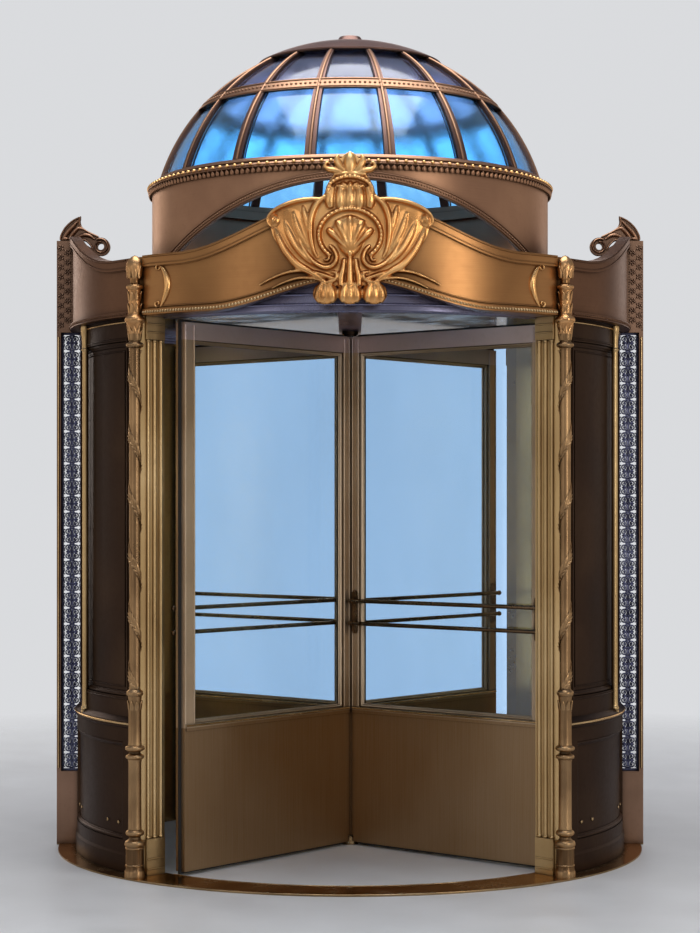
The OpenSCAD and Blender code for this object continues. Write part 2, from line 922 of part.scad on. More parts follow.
module crest_raised() {
    translate([0, crest_h * 0.45])
        circle(r = crest_h * 0.2);
    translate([-crest_half * 0.2, crest_h * 0.07])
        square([crest_half * 0.4, crest_h * 0.25]);
    translate([-crest_half * 0.25, crest_h * 0.66])
        square([crest_half * 0.5, crest_h * 0.12]);
    for (i = [-1, 1])
        scale([i, 1])
            polygon([
                [crest_half * 0.15, crest_h * 0.16],
                [crest_half * 0.5, crest_h * 0.23],
                [crest_half * 0.8, crest_h * 0.38],
                [crest_half * 0.96, crest_h * 0.57],
                [crest_half * 0.78, crest_h * 0.6],
                [crest_half * 0.5, crest_h * 0.48],
                [crest_half * 0.15, crest_h * 0.3]
            ]);
}

module crest_ring() {
    translate([0, crest_h * 0.45])
        difference() {
            circle(r = crest_h * 0.19);
            circle(r = crest_h * 0.15);
        }
    translate([0, crest_h * 0.45])
        circle(r = crest_h * 0.11);
}

module center_shaft() {
    color(olive)
        union() {
            rotate([0, 0, wing_turn(1)])
                translate([-shaft_w / 2, -shaft_w / 2, shaft_foot])
                    cube([shaft_w, shaft_w, wing_head - shaft_foot]);
            translate([0, 0, 8])
                cylinder(d = pin_d, h = shaft_foot);
            translate([0, 0, wing_head - 30])
                cylinder(d = pin_d, h = beam_z1 - wing_head + 20);
        }
}

// Turns a child that lies along +X to wing k's place
module on_wing(k) {
    rotate([0, 0, wing_turn(k)])
        children();
}

module wing_frame() {
    x0 = shaft_w / 2;
    length = wing_r - x0;
    color(olive)
        difference() {
            union() {
                translate([x0, -wing_t / 2, wing_foot])
                    cube([length, wing_t, wing_head - wing_foot]);
                translate([x0 + 6, -wing_t / 2 - band_proud, kick_top - band_h])
                    cube([length - 14, wing_t + 2 * band_proud, band_h]);
            }
            translate([x0 + inner_stile, -wing_t / 2 - 1, kick_top])
                cube([length - inner_stile - outer_stile, wing_t + 2, wing_head - wing_rail - kick_top]);
            translate([0, 0, wing_foot - 1])
                cylinder(r = notch_r, h = shaft_foot - wing_foot + 1);
        }
}

module wing_glass() {
    x0 = shaft_w / 2 + inner_stile + pane_gap;
    x1 = wing_r - outer_stile - pane_gap;
    color(clear_glass)
        for (k = ORDER)
            on_wing(k)
                translate([x0, -glass_t / 2, kick_top + pane_gap])
                    cube([x1 - x0, glass_t, wing_head - wing_rail - kick_top - 2 * pane_gap]);
}

// Two bars along the trailing face of each wing, on posts that share a plate at each end
module push_bars() {
    color(gold)
        for (k = ORDER)
            on_wing(k)
                wing_bars();
}

module wing_bars() {
    face = -wing_t / 2;
    heights = [bar_z, bar_z - bar_pitch];
    union() {
        for (z = heights)
            translate([bar_inner_r - 12, -bar_reach, z])
                rotate([0, 90, 0])
                    cylinder(d = bar_d, h = bar_outer_r - bar_inner_r + 24);
        for (r = [bar_inner_r, bar_outer_r]) {
            for (z = heights)
                translate([r, face, z])
                    rotate([90, 0, 0])
                        cylinder(d = post_d, h = bar_reach + face);
            translate([r, face, bar_z - bar_pitch / 2])
                rotate([90, 0, 0])
                    linear_extrude(height = plate_t)
                        plate_outline(plate_w / 2, bar_pitch / 2 + plate_over);
        }
    }
}

module plate_outline(half_w, half_h) {
    corner = half_w * 0.6;
    polygon([
        [-half_w, -half_h + corner],
        [-half_w + corner, -half_h],
        [half_w - corner, -half_h],
        [half_w, -half_h + corner],
        [half_w, half_h - corner],
        [half_w - corner, half_h],
        [-half_w + corner, half_h],
        [-half_w, half_h - corner]
    ]);
}

// A seal round the free edges of each wing: floor brush, edge seal and top brush
module wing_seals() {
    x0 = notch_r + 6;
    color(black)
        for (k = ORDER)
            on_wing(k)
                translate([0, -seal_t / 2, 0])
                    union() {
                        translate([wing_r, 0, foot_gap])
                            cube([seal_d, seal_t, brush_top - foot_gap]);
                        translate([x0, 0, foot_gap])
                            cube([wing_r - x0 + 1, seal_t, brush_h]);
                        translate([x0, 0, wing_head])
                            cube([wing_r - x0 + 1, seal_t, brush_h]);
                    }
}

threshold_ring();
floor_bearing();
head_bearing();
ceiling_ring();
ceiling_glass();
canopy_ring();
canopy_deck();
for (c = CORNERS) {
    in_corner(c) wall();
    in_corner(c) jamb();
    in_corner(c) column();
}
for (s = SIDES) {
    on_side(s) side_pier();
    on_side(s) side_grille();
    on_side(s) canopy_band_side();
}
for (f = FACES) {
    on_face(f) canopy_band_arched();
    on_face(f) crest();
    on_face(f) attic();
}
cornice();
dome_rings();
dome_ribs();
dome_glass();
dome_crown();
center_shaft();
for (k = ORDER) {
    on_wing(k) wing_frame();
}
wing_glass();
push_bars();
wing_seals();
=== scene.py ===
# Revolving door: finishes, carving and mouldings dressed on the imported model.
# Metres throughout. The drum's axis is Z, the near opening faces -Y.
import math

import bmesh
import bpy
import numpy as np
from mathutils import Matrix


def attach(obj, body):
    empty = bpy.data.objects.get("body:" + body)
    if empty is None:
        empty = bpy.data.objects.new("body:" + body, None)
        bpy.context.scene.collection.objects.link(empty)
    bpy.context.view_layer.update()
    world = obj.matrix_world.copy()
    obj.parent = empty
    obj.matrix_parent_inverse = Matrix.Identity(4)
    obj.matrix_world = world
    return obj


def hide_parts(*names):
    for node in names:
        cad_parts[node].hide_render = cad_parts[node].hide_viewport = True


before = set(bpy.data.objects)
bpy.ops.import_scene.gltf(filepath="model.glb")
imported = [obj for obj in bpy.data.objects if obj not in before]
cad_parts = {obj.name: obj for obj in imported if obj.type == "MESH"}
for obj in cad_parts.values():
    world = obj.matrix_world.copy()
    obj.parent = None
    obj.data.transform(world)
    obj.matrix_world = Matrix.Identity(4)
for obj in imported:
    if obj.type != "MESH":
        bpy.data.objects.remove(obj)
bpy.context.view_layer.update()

# Sizes, most of them shared with the part's source
DRUM_R = 1.067
WALL_TOP = 2.235
PANEL_R = 1.151
FRAME_R = 1.169
BASE_R = 1.185
BASE_TOP = 0.600
OPENING_HALF = 44.3
JAMB_ARC = 3.2
PIER_HALF = 0.030
PIER_R = 1.280
GRILLE_X = (1.172, 1.262)
GRILLE_Z = (0.3203, WALL_TOP - 0.0003)
GRILLE_EDGE = 0.009
GRILLE_RINGS = 27
COLUMN_R = 1.222
COLUMN_ANGLE = 44.3
SHAFT_ANGLE = 71.4
WOUND_Z0 = 0.750
WOUND_Z1 = 2.105
WOUND_PITCH = 0.237
BAND_OUT = 1.203
MOULDING_R = 1.215
BAND_TOP = 2.470
RECESS_R = 1.1005
DECK_TOP = 2.445
ATTIC_R = 0.8624
EYEBROW_R = 1.130
EYEBROW_TOP = 2.781
EYEBROW_FACE_R = ATTIC_R + 0.009
CORNICE_R = 0.8784
CURB_Z = 2.855
DOME_R = 0.868
DOME_Z = 2.623
BELT_UP = 0.584
CROWN_EDGE_R = 0.398
RIB_COUNT = 16
CREST_FOOT = 2.247
WING_TURN = [-40.2, 49.8, 139.8, 229.8]
WING_T = 0.048
PANE_X = (0.072, 0.992)
PANE_Z = (0.604, 2.144)
BAR_Z = (1.066, 0.968)
BAR_POSTS = (0.051, 1.022)
BAR_REACH = 0.052
PLATE_FACE = 0.0290

SIDES = (-1, 1)
# The flips in X and Y that take the near right corner to each corner
CORNERS = {"front_right": (1, 1), "back_right": (1, -1), "back_left": (-1, -1), "front_left": (-1, 1)}


# Finishes

def shade(r, g, b):
    """A colour written in the usual 0 to 255 steps, as the shader wants it."""
    out = []
    for c in (r, g, b):
        c = c / 255
        out.append(c / 12.92 if c <= 0.04045 else ((c + 0.055) / 1.055) ** 2.4)
    return (*out, 1.0)


class Finish:
    """A material under construction, with short names for the nodes it uses."""

    def __init__(self, name):
        self.material = bpy.data.materials.new(name)
        self.material.use_nodes = True
        self.tree = self.material.node_tree
        self.tree.nodes.clear()
        self.shader = self.add("ShaderNodeBsdfPrincipled")
        end = self.add("ShaderNodeOutputMaterial")
        self.join(self.shader.outputs["BSDF"], end.inputs["Surface"])
        self.place = self.add("ShaderNodeTexCoord").outputs["Object"]

    def add(self, kind, **values):
        node = self.tree.nodes.new(kind)
        for key, value in values.items():
            setattr(node, key, value)
        return node

    def join(self, source, target):
        self.tree.links.new(source, target)

    def noise(self, scale, detail=4.0, roughness=0.55, stretch=(1, 1, 1), distortion=0.0):
        shift = self.add("ShaderNodeMapping")
        shift.inputs["Scale"].default_value = stretch
        self.join(self.place, shift.inputs["Vector"])
        node = self.add("ShaderNodeTexNoise")
        node.inputs["Scale"].default_value = scale
        node.inputs["Detail"].default_value = detail
        node.inputs["Roughness"].default_value = roughness
        node.inputs["Distortion"].default_value = distortion
        self.join(shift.outputs["Vector"], node.inputs["Vector"])
        return node.outputs["Fac"]

    def ramp(self, source, stops):
        node = self.add("ShaderNodeValToRGB")
        bar = node.color_ramp
        while len(bar.elements) < len(stops):
            bar.elements.new(0.5)
        for element, (at, colour) in zip(bar.elements, stops):
            element.position = at
            element.color = colour
        self.join(source, node.inputs["Fac"])
        return node.outputs["Color"]

    def span(self, source, low, high, to_low, to_high):
        node = self.add("ShaderNodeMapRange")
        for socket, value in zip(("From Min", "From Max", "To Min", "To Max"), (low, high, to_low, to_high)):
            node.inputs[socket].default_value = value
        self.join(source, node.inputs["Value"])
        return node.outputs["Result"]

    def blend(self, factor, first, second):
        node = self.add("ShaderNodeMix", data_type="RGBA")
        for socket, value in zip((0, 6, 7), (factor, first, second)):
            if isinstance(value, (float, int, tuple)):
                node.inputs[socket].default_value = value
            else:
                self.join(value, node.inputs[socket])
        return node.outputs[2]

    def calc(self, first, second, how="ADD"):
        node = self.add("ShaderNodeMath", operation=how)
        for socket, value in zip((0, 1), (first, second)):
            if isinstance(value, (float, int)):
                node.inputs[socket].default_value = value
            else:
                self.join(value, node.inputs[socket])
        return node.outputs[0]

    def bump(self, height, strength, depth):
        node = self.add("ShaderNodeBump")
        node.inputs["Strength"].default_value = strength
        node.inputs["Distance"].default_value = depth
        self.join(height, node.inputs["Height"])
        self.join(node.outputs["Normal"], self.shader.inputs["Normal"])

    def hollows(self, reach):
        """1 in the open and less in corners and carving; the colour is darkened by it there as painted shade.
        """
        node = self.add("ShaderNodeAmbientOcclusion", samples=6)
        node.inputs["Distance"].default_value = reach
        return node.outputs["AO"]

    def put(self, socket, value):
        if isinstance(value, (float, int, tuple)):
            self.shader.inputs[socket].default_value = value
        else:
            self.join(value, self.shader.inputs[socket])


def metal(name, deep, middle, bright, hollow_shade, rough, grain, grain_depth, reach=0.03, cloud=2.2, carved=False,
          bands=(), inner=None, rim=(0.82, 0.68, 0.56, 1.0)):
    """Bronze or brass: clouded colour, painted shade in hollows and corners, a directed grain and, on
    carving, rubbed edges and painted shade in creases.

    bands gives (from, to, colour) over a piece's height. inner gives a radius and the colour inside it, a
    much lighter tone that paints light onto the inner faces.
    """
    f = Finish(name)
    clouds = f.noise(cloud, 3.0, 0.5, distortion=0.3)
    specks = f.noise(46.0, 3.0, 0.6)
    lines = f.noise(1.0, 3.0, 0.6, stretch=grain)
    tone = f.ramp(clouds, [(0.26, deep), (0.50, middle), (0.76, bright)])
    split = f.add("ShaderNodeSeparateXYZ")
    f.join(f.place, split.inputs["Vector"])
    for low, high, colour in bands:
        above = f.span(split.outputs["Z"], low - 0.0005, low + 0.0005, 0.0, 1.0)
        below = f.span(split.outputs["Z"], high - 0.0005, high + 0.0005, 1.0, 0.0)
        tint = f.blend(f.span(clouds, 0.3, 0.7, 0.0, 0.35), colour, deep)
        tone = f.blend(f.calc(above, below, "MULTIPLY"), tone, tint)
    # Painted light: inside the given radius the colour turns to a much lighter tone, as if the inner faces
    # were lit.
    if inner:
        square = f.calc(f.calc(split.outputs["X"], 2.0, "POWER"), f.calc(split.outputs["Y"], 2.0, "POWER"))
        inside = f.span(square, (inner[0] - 0.001) ** 2, (inner[0] + 0.001) ** 2, 1.0, 0.0)
        tint = f.blend(f.span(clouds, 0.3, 0.7, 0.0, 0.25), inner[1], middle)
        tone = f.blend(inside, tone, tint)
    tone = f.blend(f.span(lines, 0.3, 0.7, 0.0, 0.16), tone, bright)
    tone = f.blend(f.span(specks, 0.56, 0.76, 0.0, 0.14), tone, deep)
    # Painted shade: the colour darkens to the given hollow colour in corners, crevices and carving, by
    # ambient occlusion.
    open_air = f.hollows(reach)
    tone = f.blend(f.span(open_air, 0.25, 0.92, 0.9, 0.0), tone, hollow_shade)
    if carved:
        edge = f.add("ShaderNodeNewGeometry").outputs["Pointiness"]
        # Convex edges are rubbed brighter by wear; concave creases darken with painted shade.
        tone = f.blend(f.span(edge, 0.50, 0.56, 0.0, 0.55), tone, bright)
        tone = f.blend(f.span(edge, 0.495, 0.45, 0.0, 0.7), tone, hollow_shade)
    f.put("Base Color", tone)
    f.put("Metallic", 1.0)
    f.put("Specular Tint", rim)
    worn = f.calc(f.span(clouds, 0.3, 0.7, rough[0], rough[1]), f.span(specks, 0.4, 0.7, -0.01, 0.03))
    f.put("Roughness", f.calc(worn, f.span(open_air, 0.3, 0.9, 0.16, 0.0)))
    f.bump(f.calc(lines, f.calc(specks, 0.15, "MULTIPLY")), 0.24, grain_depth)
    return f.material


def glass(name, tint, haze, wave, high=None):
    """Clear or tinted glass, faintly filmed. high gives a height and the tint of the panes above it."""
    f = Finish(name)
    sheet = f.noise(1.6, 3.0, 0.5, stretch=(1, 1, 0.5))
    film = f.noise(9.0, 5.0, 0.65)
    tone = f.ramp(sheet, [(0.30, tuple(c * 0.93 for c in tint[:3]) + (1.0,)), (0.70, tint)])
    if high:
        split = f.add("ShaderNodeSeparateXYZ")
        f.join(f.place, split.inputs["Vector"])
        tone = f.blend(f.span(split.outputs["Z"], high[0] - 0.002, high[0] + 0.002, 0.0, 1.0), tone, high[1])
    f.put("Base Color", tone)
    f.put("Roughness", f.span(film, 0.45, 0.75, haze[0], haze[1]))
    f.put("Metallic", 0.0)
    f.put("IOR", 1.45)
    f.put("Transmission Weight", 1.0)
    f.bump(sheet, 0.12, wave)
    return f.material


UPRIGHT = (380, 380, 3)
LEVEL = (5, 5, 420)
CAST = (60, 60, 60)

# The fifth colour of each metal is painted shade, laid in its hollows and corners.
gilt = metal("gilt_bronze", shade(134, 94, 60), shade(160, 116, 74), shade(190, 144, 92),
             shade(52, 33, 20), (0.28, 0.38), LEVEL, 0.0005, cloud=1.6)
gilt_post = metal("gilt_bronze_upright", shade(168, 138, 96), shade(200, 170, 122), shade(226, 198, 150),
                  shade(66, 50, 33), (0.28, 0.40), UPRIGHT, 0.0004, reach=0.014)
gilt_carved = metal("gilt_bronze_carved", shade(196, 134, 78), shade(230, 166, 100), shade(250, 206, 142),
                    shade(112, 60, 30), (0.24, 0.36), CAST, 0.0004, reach=0.034, cloud=6.0, carved=True)
column_bronze = metal("column_bronze", shade(110, 86, 62), shade(136, 108, 78), shade(180, 146, 106),
                      shade(36, 25, 17), (0.26, 0.38), UPRIGHT, 0.0004, reach=0.012, cloud=5.0, carved=True,
                      bands=((-0.1, 0.12, shade(98, 73, 50)), (2.16, 2.8, shade(214, 160, 106))))
attic_bronze = metal("gilt_bronze_brown", shade(134, 100, 80), shade(159, 121, 96), shade(184, 144, 114),
                     shade(46, 31, 23), (0.32, 0.46), LEVEL, 0.0005, rim=(0.84, 0.74, 0.68, 1.0))
rib_bronze = metal("rib_bronze", shade(92, 70, 64), shade(114, 88, 80), shade(142, 114, 102),
                   shade(40, 30, 28), (0.34, 0.48), LEVEL, 0.0005, rim=(0.86, 0.78, 0.76, 1.0))
side_bronze = metal("side_band_bronze", shade(82, 58, 44), shade(104, 75, 57), shade(128, 95, 72),
                    shade(22, 15, 11), (0.34, 0.46), LEVEL, 0.0005, rim=(0.78, 0.70, 0.67, 1.0))
# The inner faces of the walls get painted light: a pale gold for daylight inside the drum.
wall_bronze = metal("wall_bronze", shade(42, 30, 22), shade(55, 40, 30), shade(74, 56, 42),
                    shade(14, 10, 7), (0.34, 0.46), UPRIGHT, 0.0004,
                    inner=(DRUM_R + 0.004, shade(222, 186, 122)), rim=(0.63, 0.61, 0.61, 1.0))
pier_bronze = metal("pier_bronze", shade(108, 84, 70), shade(134, 106, 88), shade(160, 128, 108),
                    shade(24, 18, 15), (0.34, 0.46), UPRIGHT, 0.0004)
dark_bronze = metal("dark_bronze", shade(50, 38, 31), shade(70, 55, 45), shade(94, 75, 60),
                    shade(14, 10, 8), (0.30, 0.44), UPRIGHT, 0.0004)
wing_bronze = metal("wing_bronze", shade(170, 148, 122), shade(197, 175, 149), shade(218, 198, 172),
                    shade(46, 35, 26), (0.36, 0.46), UPRIGHT, 0.0003,
                    bands=((-0.1, 0.590, shade(150, 120, 84)), (PANE_Z[1], 2.4, shade(222, 205, 204))))
# The soffit's bronze is tinted blue-grey: a painted reflection of the blue outside.
soffit_bronze_blue_reflection = metal("soffit_bronze_blue_reflection", shade(108, 108, 134), shade(138, 140, 170), shade(168, 170, 200),
                      shade(34, 30, 29), (0.22, 0.36), LEVEL, 0.0004)
brass = metal("polished_brass", shade(158, 130, 92), shade(190, 160, 118), shade(220, 194, 152),
              shade(54, 39, 24), (0.16, 0.28), LEVEL, 0.0002, cloud=6.0)
bar_brass = metal("bar_brass", shade(84, 68, 52), shade(108, 88, 68), shade(146, 122, 96),
                  shade(26, 19, 14), (0.18, 0.30), LEVEL, 0.0002, cloud=6.0)
iron = metal("wrought_iron", shade(70, 72, 96), shade(98, 101, 132), shade(132, 137, 168),
             shade(26, 26, 34), (0.36, 0.52), CAST, 0.0005)

door_glass = glass("door_glass", (0.84, 0.91, 0.96, 1.0), (0.0, 0.05), 0.0008)
ceiling_pane = glass("ceiling_glass", (0.74, 0.85, 0.96, 1.0), (0.06, 0.20), 0.0010)
dome_pane = glass("dome_glass", (0.32, 0.70, 1.0, 1.0), (0.12, 0.24), 0.0020,
                  high=(3.185, (0.44, 0.44, 0.66, 1.0)))

rubber_form = Finish("seal_rubber")
hairs = rubber_form.noise(1.0, 2.0, 0.6, stretch=(1400, 1400, 12))
dust = rubber_form.noise(24.0, 4.0, 0.6)
rubber_form.put("Base Color", rubber_form.blend(rubber_form.span(dust, 0.4, 0.7, 0.1, 0.6),
                                                (0.008, 0.008, 0.009, 1.0), (0.035, 0.032, 0.030, 1.0)))
rubber_form.put("Roughness", rubber_form.span(dust, 0.3, 0.7, 0.55, 0.85))
rubber_form.bump(hairs, 0.5, 0.0010)
rubber = rubber_form.material

FINISH_OF = {
    "threshold_ring": brass, "floor_bearing": brass, "head_bearing": dark_bronze,
    "ceiling_ring": soffit_bronze_blue_reflection, "ceiling_glass": ceiling_pane, "canopy_ring": dark_bronze,
    "canopy_deck": dark_bronze, "wall": wall_bronze, "jamb": gilt_post, "column": gilt_post,
    "side_pier": pier_bronze, "side_grille": iron, "canopy_band": gilt, "canopy_band_left": side_bronze,
    "canopy_band_right": side_bronze, "crest": gilt_carved, "attic": attic_bronze, "cornice": attic_bronze,
    "dome_rings": attic_bronze, "dome_ribs": rib_bronze, "dome_glass": dome_pane, "dome_crown": rib_bronze,
    "center_shaft": wing_bronze, "wing_frame": wing_bronze, "wing_glass": door_glass, "push_bars": bar_brass,
    "wing_seals": rubber,
}
for node_name, node_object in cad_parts.items():
    known = [k for k in FINISH_OF if node_name.startswith(k)]
    finish = FINISH_OF[max(known, key=len)]
    node_object.data.materials.clear()
    node_object.data.materials.append(finish)


# Shapes as lists of corners and faces

def joined(shapes):
    corners = []
    faces = []
    count = 0
    for points, polygons in shapes:
        points = np.asarray(points, float)
        corners.append(points)
        faces.extend([[i + count for i in polygon] for polygon in polygons])
        count += len(points)
    return np.concatenate(corners), faces


def make_mesh(name, shape):
    """A mesh of a shape, with corners that meet welded and faces turned outwards."""
    points, polygons = shape
    mesh = bpy.data.meshes.new(name)
    mesh.from_pydata([tuple(map(float, p)) for p in points], [], polygons)
    work = bmesh.new()
    work.from_mesh(mesh)
    bmesh.ops.remove_doubles(work, verts=work.verts, dist=0.00001)
    bmesh.ops.recalc_face_normals(work, faces=work.faces)
    work.to_mesh(mesh)
    work.free()
    return mesh


def place(name, mesh, finish, body, replaces=(), sharp=50):
    """Puts a finished mesh on the door as a piece of its own."""
    mesh.materials.clear()
    mesh.materials.append(finish)
    mesh.shade_smooth()
    mesh.set_sharp_from_angle(angle=math.radians(sharp))
    item = bpy.data.objects.new(name, mesh)
    bpy.context.scene.collection.objects.link(item)
    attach(item, body)
    if replaces:
        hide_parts(*replaces)
    return item


def add_piece(name, shapes, finish, body, replaces=(), sharp=50):
    return place(name, make_mesh(name, joined(shapes)), finish, body, replaces, sharp)


def strip_faces(rows, columns, closed_rows, closed_columns):
    polygons = []
    for i in range(rows if closed_rows else rows - 1):
        for j in range(columns if closed_columns else columns - 1):
            a = i * columns + j
            b = i * columns + (j + 1) % columns
            c = ((i + 1) % rows) * columns + (j + 1) % columns
            d = ((i + 1) % rows) * columns + j
            polygons.append([a, b, c, d])
    return polygons


def swept(path, outward, profile, closed=False):
    """A profile of (along the surface, off the surface) drawn along a path, with mitred corners."""
    path = np.asarray(path, float)
    outward = np.asarray(outward, float)
    if outward.ndim == 1:
        outward = np.repeat(outward[None, :], len(path), 0)
    ahead = np.roll(path, -1, 0) - path
    behind = path - np.roll(path, 1, 0)
    if not closed:
        ahead[-1] = behind[-1]
        behind[0] = ahead[0]
    ahead /= np.linalg.norm(ahead, axis=1)[:, None]
    behind /= np.linalg.norm(behind, axis=1)[:, None]
    tangent = ahead + behind
    tangent /= np.linalg.norm(tangent, axis=1)[:, None]
    side = np.cross(tangent, outward)
    side /= np.linalg.norm(side, axis=1)[:, None]
    widen = 1 / np.clip((tangent * ahead).sum(1), 0.3, 1)
    rows = []
    for along, off in profile:
        rows.append(path + side * (along * widen)[:, None] + outward * off)
    points = np.stack(rows, 1).reshape(-1, 3)
    polygons = strip_faces(len(path), len(profile), closed, True)
    if not closed:
        polygons.append(list(range(len(profile))))
        polygons.append([len(points) - 1 - i for i in range(len(profile))])
    return points, polygons


def turned(profile, segments, centre=(0.0, 0.0)):
    """A profile of (radius, height) turned about an upright axis. It is closed or ends on the axis."""
    profile = np.asarray(profile, float)
    whole = np.linalg.norm(profile[0] - profile[-1]) < 1e-9
    if whole:
        profile = profile[:-1]
    angles = np.arange(segments) * 2 * math.pi / segments
    x, y = centre
    points = [(x + r * math.cos(a), y + r * math.sin(a), z) for a in angles for r, z in profile]
    return points, strip_faces(segments, len(profile), True, whole)


def rounded(points, steps):
    """A smooth line through the points."""
    p = np.asarray(points, float)
    p = np.vstack([2 * p[0] - p[1], p, 2 * p[-1] - p[-2]])
    out = []
    for i in range(1, len(p) - 2):
        for k in range(steps):
            t = k / steps
            out.append(0.5 * (2 * p[i] + (p[i + 1] - p[i - 1]) * t
                              + (2 * p[i - 1] - 5 * p[i] + 4 * p[i + 1] - p[i + 2]) * t * t
                              + (3 * p[i] - p[i - 1] - 3 * p[i + 1] + p[i + 2]) * t ** 3))
    out.append(p[-2])
    return np.array(out)


def rod(path, radii, sides):
    """A round bar along a path in space, closed at both ends."""
    path = np.asarray(path, float)
    radii = np.broadcast_to(radii, len(path))
    tangent = np.gradient(path, axis=0)
    tangent /= np.linalg.norm(tangent, axis=1)[:, None]
    first = np.cross(tangent[0], (0.31, 0.22, 0.92))
    first /= np.linalg.norm(first)
    rows = []
    for p, t, r in zip(path, tangent, radii):
        first = first - t * first.dot(t)
        first /= np.linalg.norm(first)
        second = np.cross(t, first)
        for k in range(sides):
            a = 2 * math.pi * k / sides
            rows.append(p + r * (math.cos(a) * first + math.sin(a) * second))
    polygons = strip_faces(len(path), sides, False, True)
    polygons.append(list(range(sides)))
    polygons.append([len(rows) - 1 - i for i in range(sides)])
    return np.array(rows), polygons


def turn_about_axis(shape, degrees):
    points = np.asarray(shape[0], float)
    a = math.radians(degrees)
    spin = np.array([[math.cos(a), math.sin(a), 0], [-math.sin(a), math.cos(a), 0], [0, 0, 1]])
    return points @ spin, shape[1]


def flipped(shape, x, y):
    return np.asarray(shape[0], float) * np.array([x, y, 1]), shape[1]


def at_corners(shapes):
    """Shapes made for the near right corner, set at all four."""
    return [flipped(shape, *corner) for corner in CORNERS.values() for shape in shapes]


def both_faces(shapes):
    """Shapes made for one side of the drum, and again on the opposite side."""
    return shapes + [turn_about_axis(shape, 180) for shape in shapes]


def on_drum(r, degrees, z):
    """A point at a radius, an angle right of the near opening's middle, and a height."""
    a = math.radians(degrees)
    return (r * math.sin(a), -r * math.cos(a), z)


def outward_at(degrees):
    a = math.radians(degrees)
    return (math.sin(a), -math.cos(a), 0.0)


# Carving in low relief: ridges, mounds and beads on a flat ground of (across, up, depth) in millimetres

def ridge(points, steps, lift=0.0, arch=7):
    """A raised stroke through points of (across, up, half width, height)."""
    line = rounded(points, steps)
    run = np.gradient(line[:, :2], axis=0)
    run /= np.maximum(np.linalg.norm(run, axis=1), 1e-6)[:, None]
    side = np.stack([-run[:, 1], run[:, 0]], 1)
    turns = np.linspace(0, math.pi, arch)
    rows = []
    for (x, z, half, high), s in zip(line, side):
        half = max(half, 0.4)
        high = max(high, 0.6)
        for t in turns:
            c = math.cos(t)
            rows.append((x + s[0] * half * c, z + s[1] * half * c, lift + high * math.sin(t)))
        rows.append((x, z, lift - 0.5))
    rows = np.array(rows)
    n = arch + 1
    polygons = strip_faces(len(line), n, False, True)
    polygons.append(list(range(n)))
    polygons.append([len(rows) - 1 - i for i in range(n)])
    return rows, polygons


def mound(x, z, half_w, half_h, high, tilt=0.0, lift=0.0, around=20, up=6):
    c = math.cos(math.radians(tilt))
    s = math.sin(math.radians(tilt))
    rows = []
    for j in range(up):
        e = j / up * math.pi / 2
        for i in range(around):
            a = 2 * math.pi * i / around
            u = half_w * math.cos(e) * math.cos(a)
            v = half_h * math.cos(e) * math.sin(a)
            rows.append((x + u * c - v * s, z + u * s + v * c, lift + high * math.sin(e)))
    rows.append((x, z, lift + high))
    top = len(rows) - 1
    polygons = strip_faces(up, around, False, True)
    polygons += [[(up - 1) * around + i, (up - 1) * around + (i + 1) % around, top] for i in range(around)]
    polygons.append(list(range(around)))
    return np.array(rows), polygons


def bead(x, z, r, depth):
    return mound(x, z, r, r, r, lift=depth, around=12, up=4)


def ground(outline, thick):
    n = len(outline)
    points = [(x, z, 0.0) for x, z in outline] + [(x, z, thick) for x, z in outline]
    polygons = [list(range(n)), [2 * n - 1 - i for i in range(n)]]
    polygons += [[i, (i + 1) % n, n + (i + 1) % n, n + i] for i in range(n)]
    return np.array(points, float), polygons


def volute(x, z, r0, r1, start, sweep, half, high, n):
    """Points of a scroll that winds from an outer to an inner radius, for ridge()."""
    out = []
    for i in range(n):
        t = i / (n - 1)
        a = math.radians(start + sweep * t)
        r = r0 + (r1 - r0) * t ** 0.8
        out.append((x + r * math.cos(a), z + r * math.sin(a), half * (1 - 0.45 * t), high * (1 - 0.2 * t)))
    return out


def both_ways(strokes):
    return strokes + [[(-p[0],) + tuple(p[1:]) for p in stroke] for stroke in strokes]


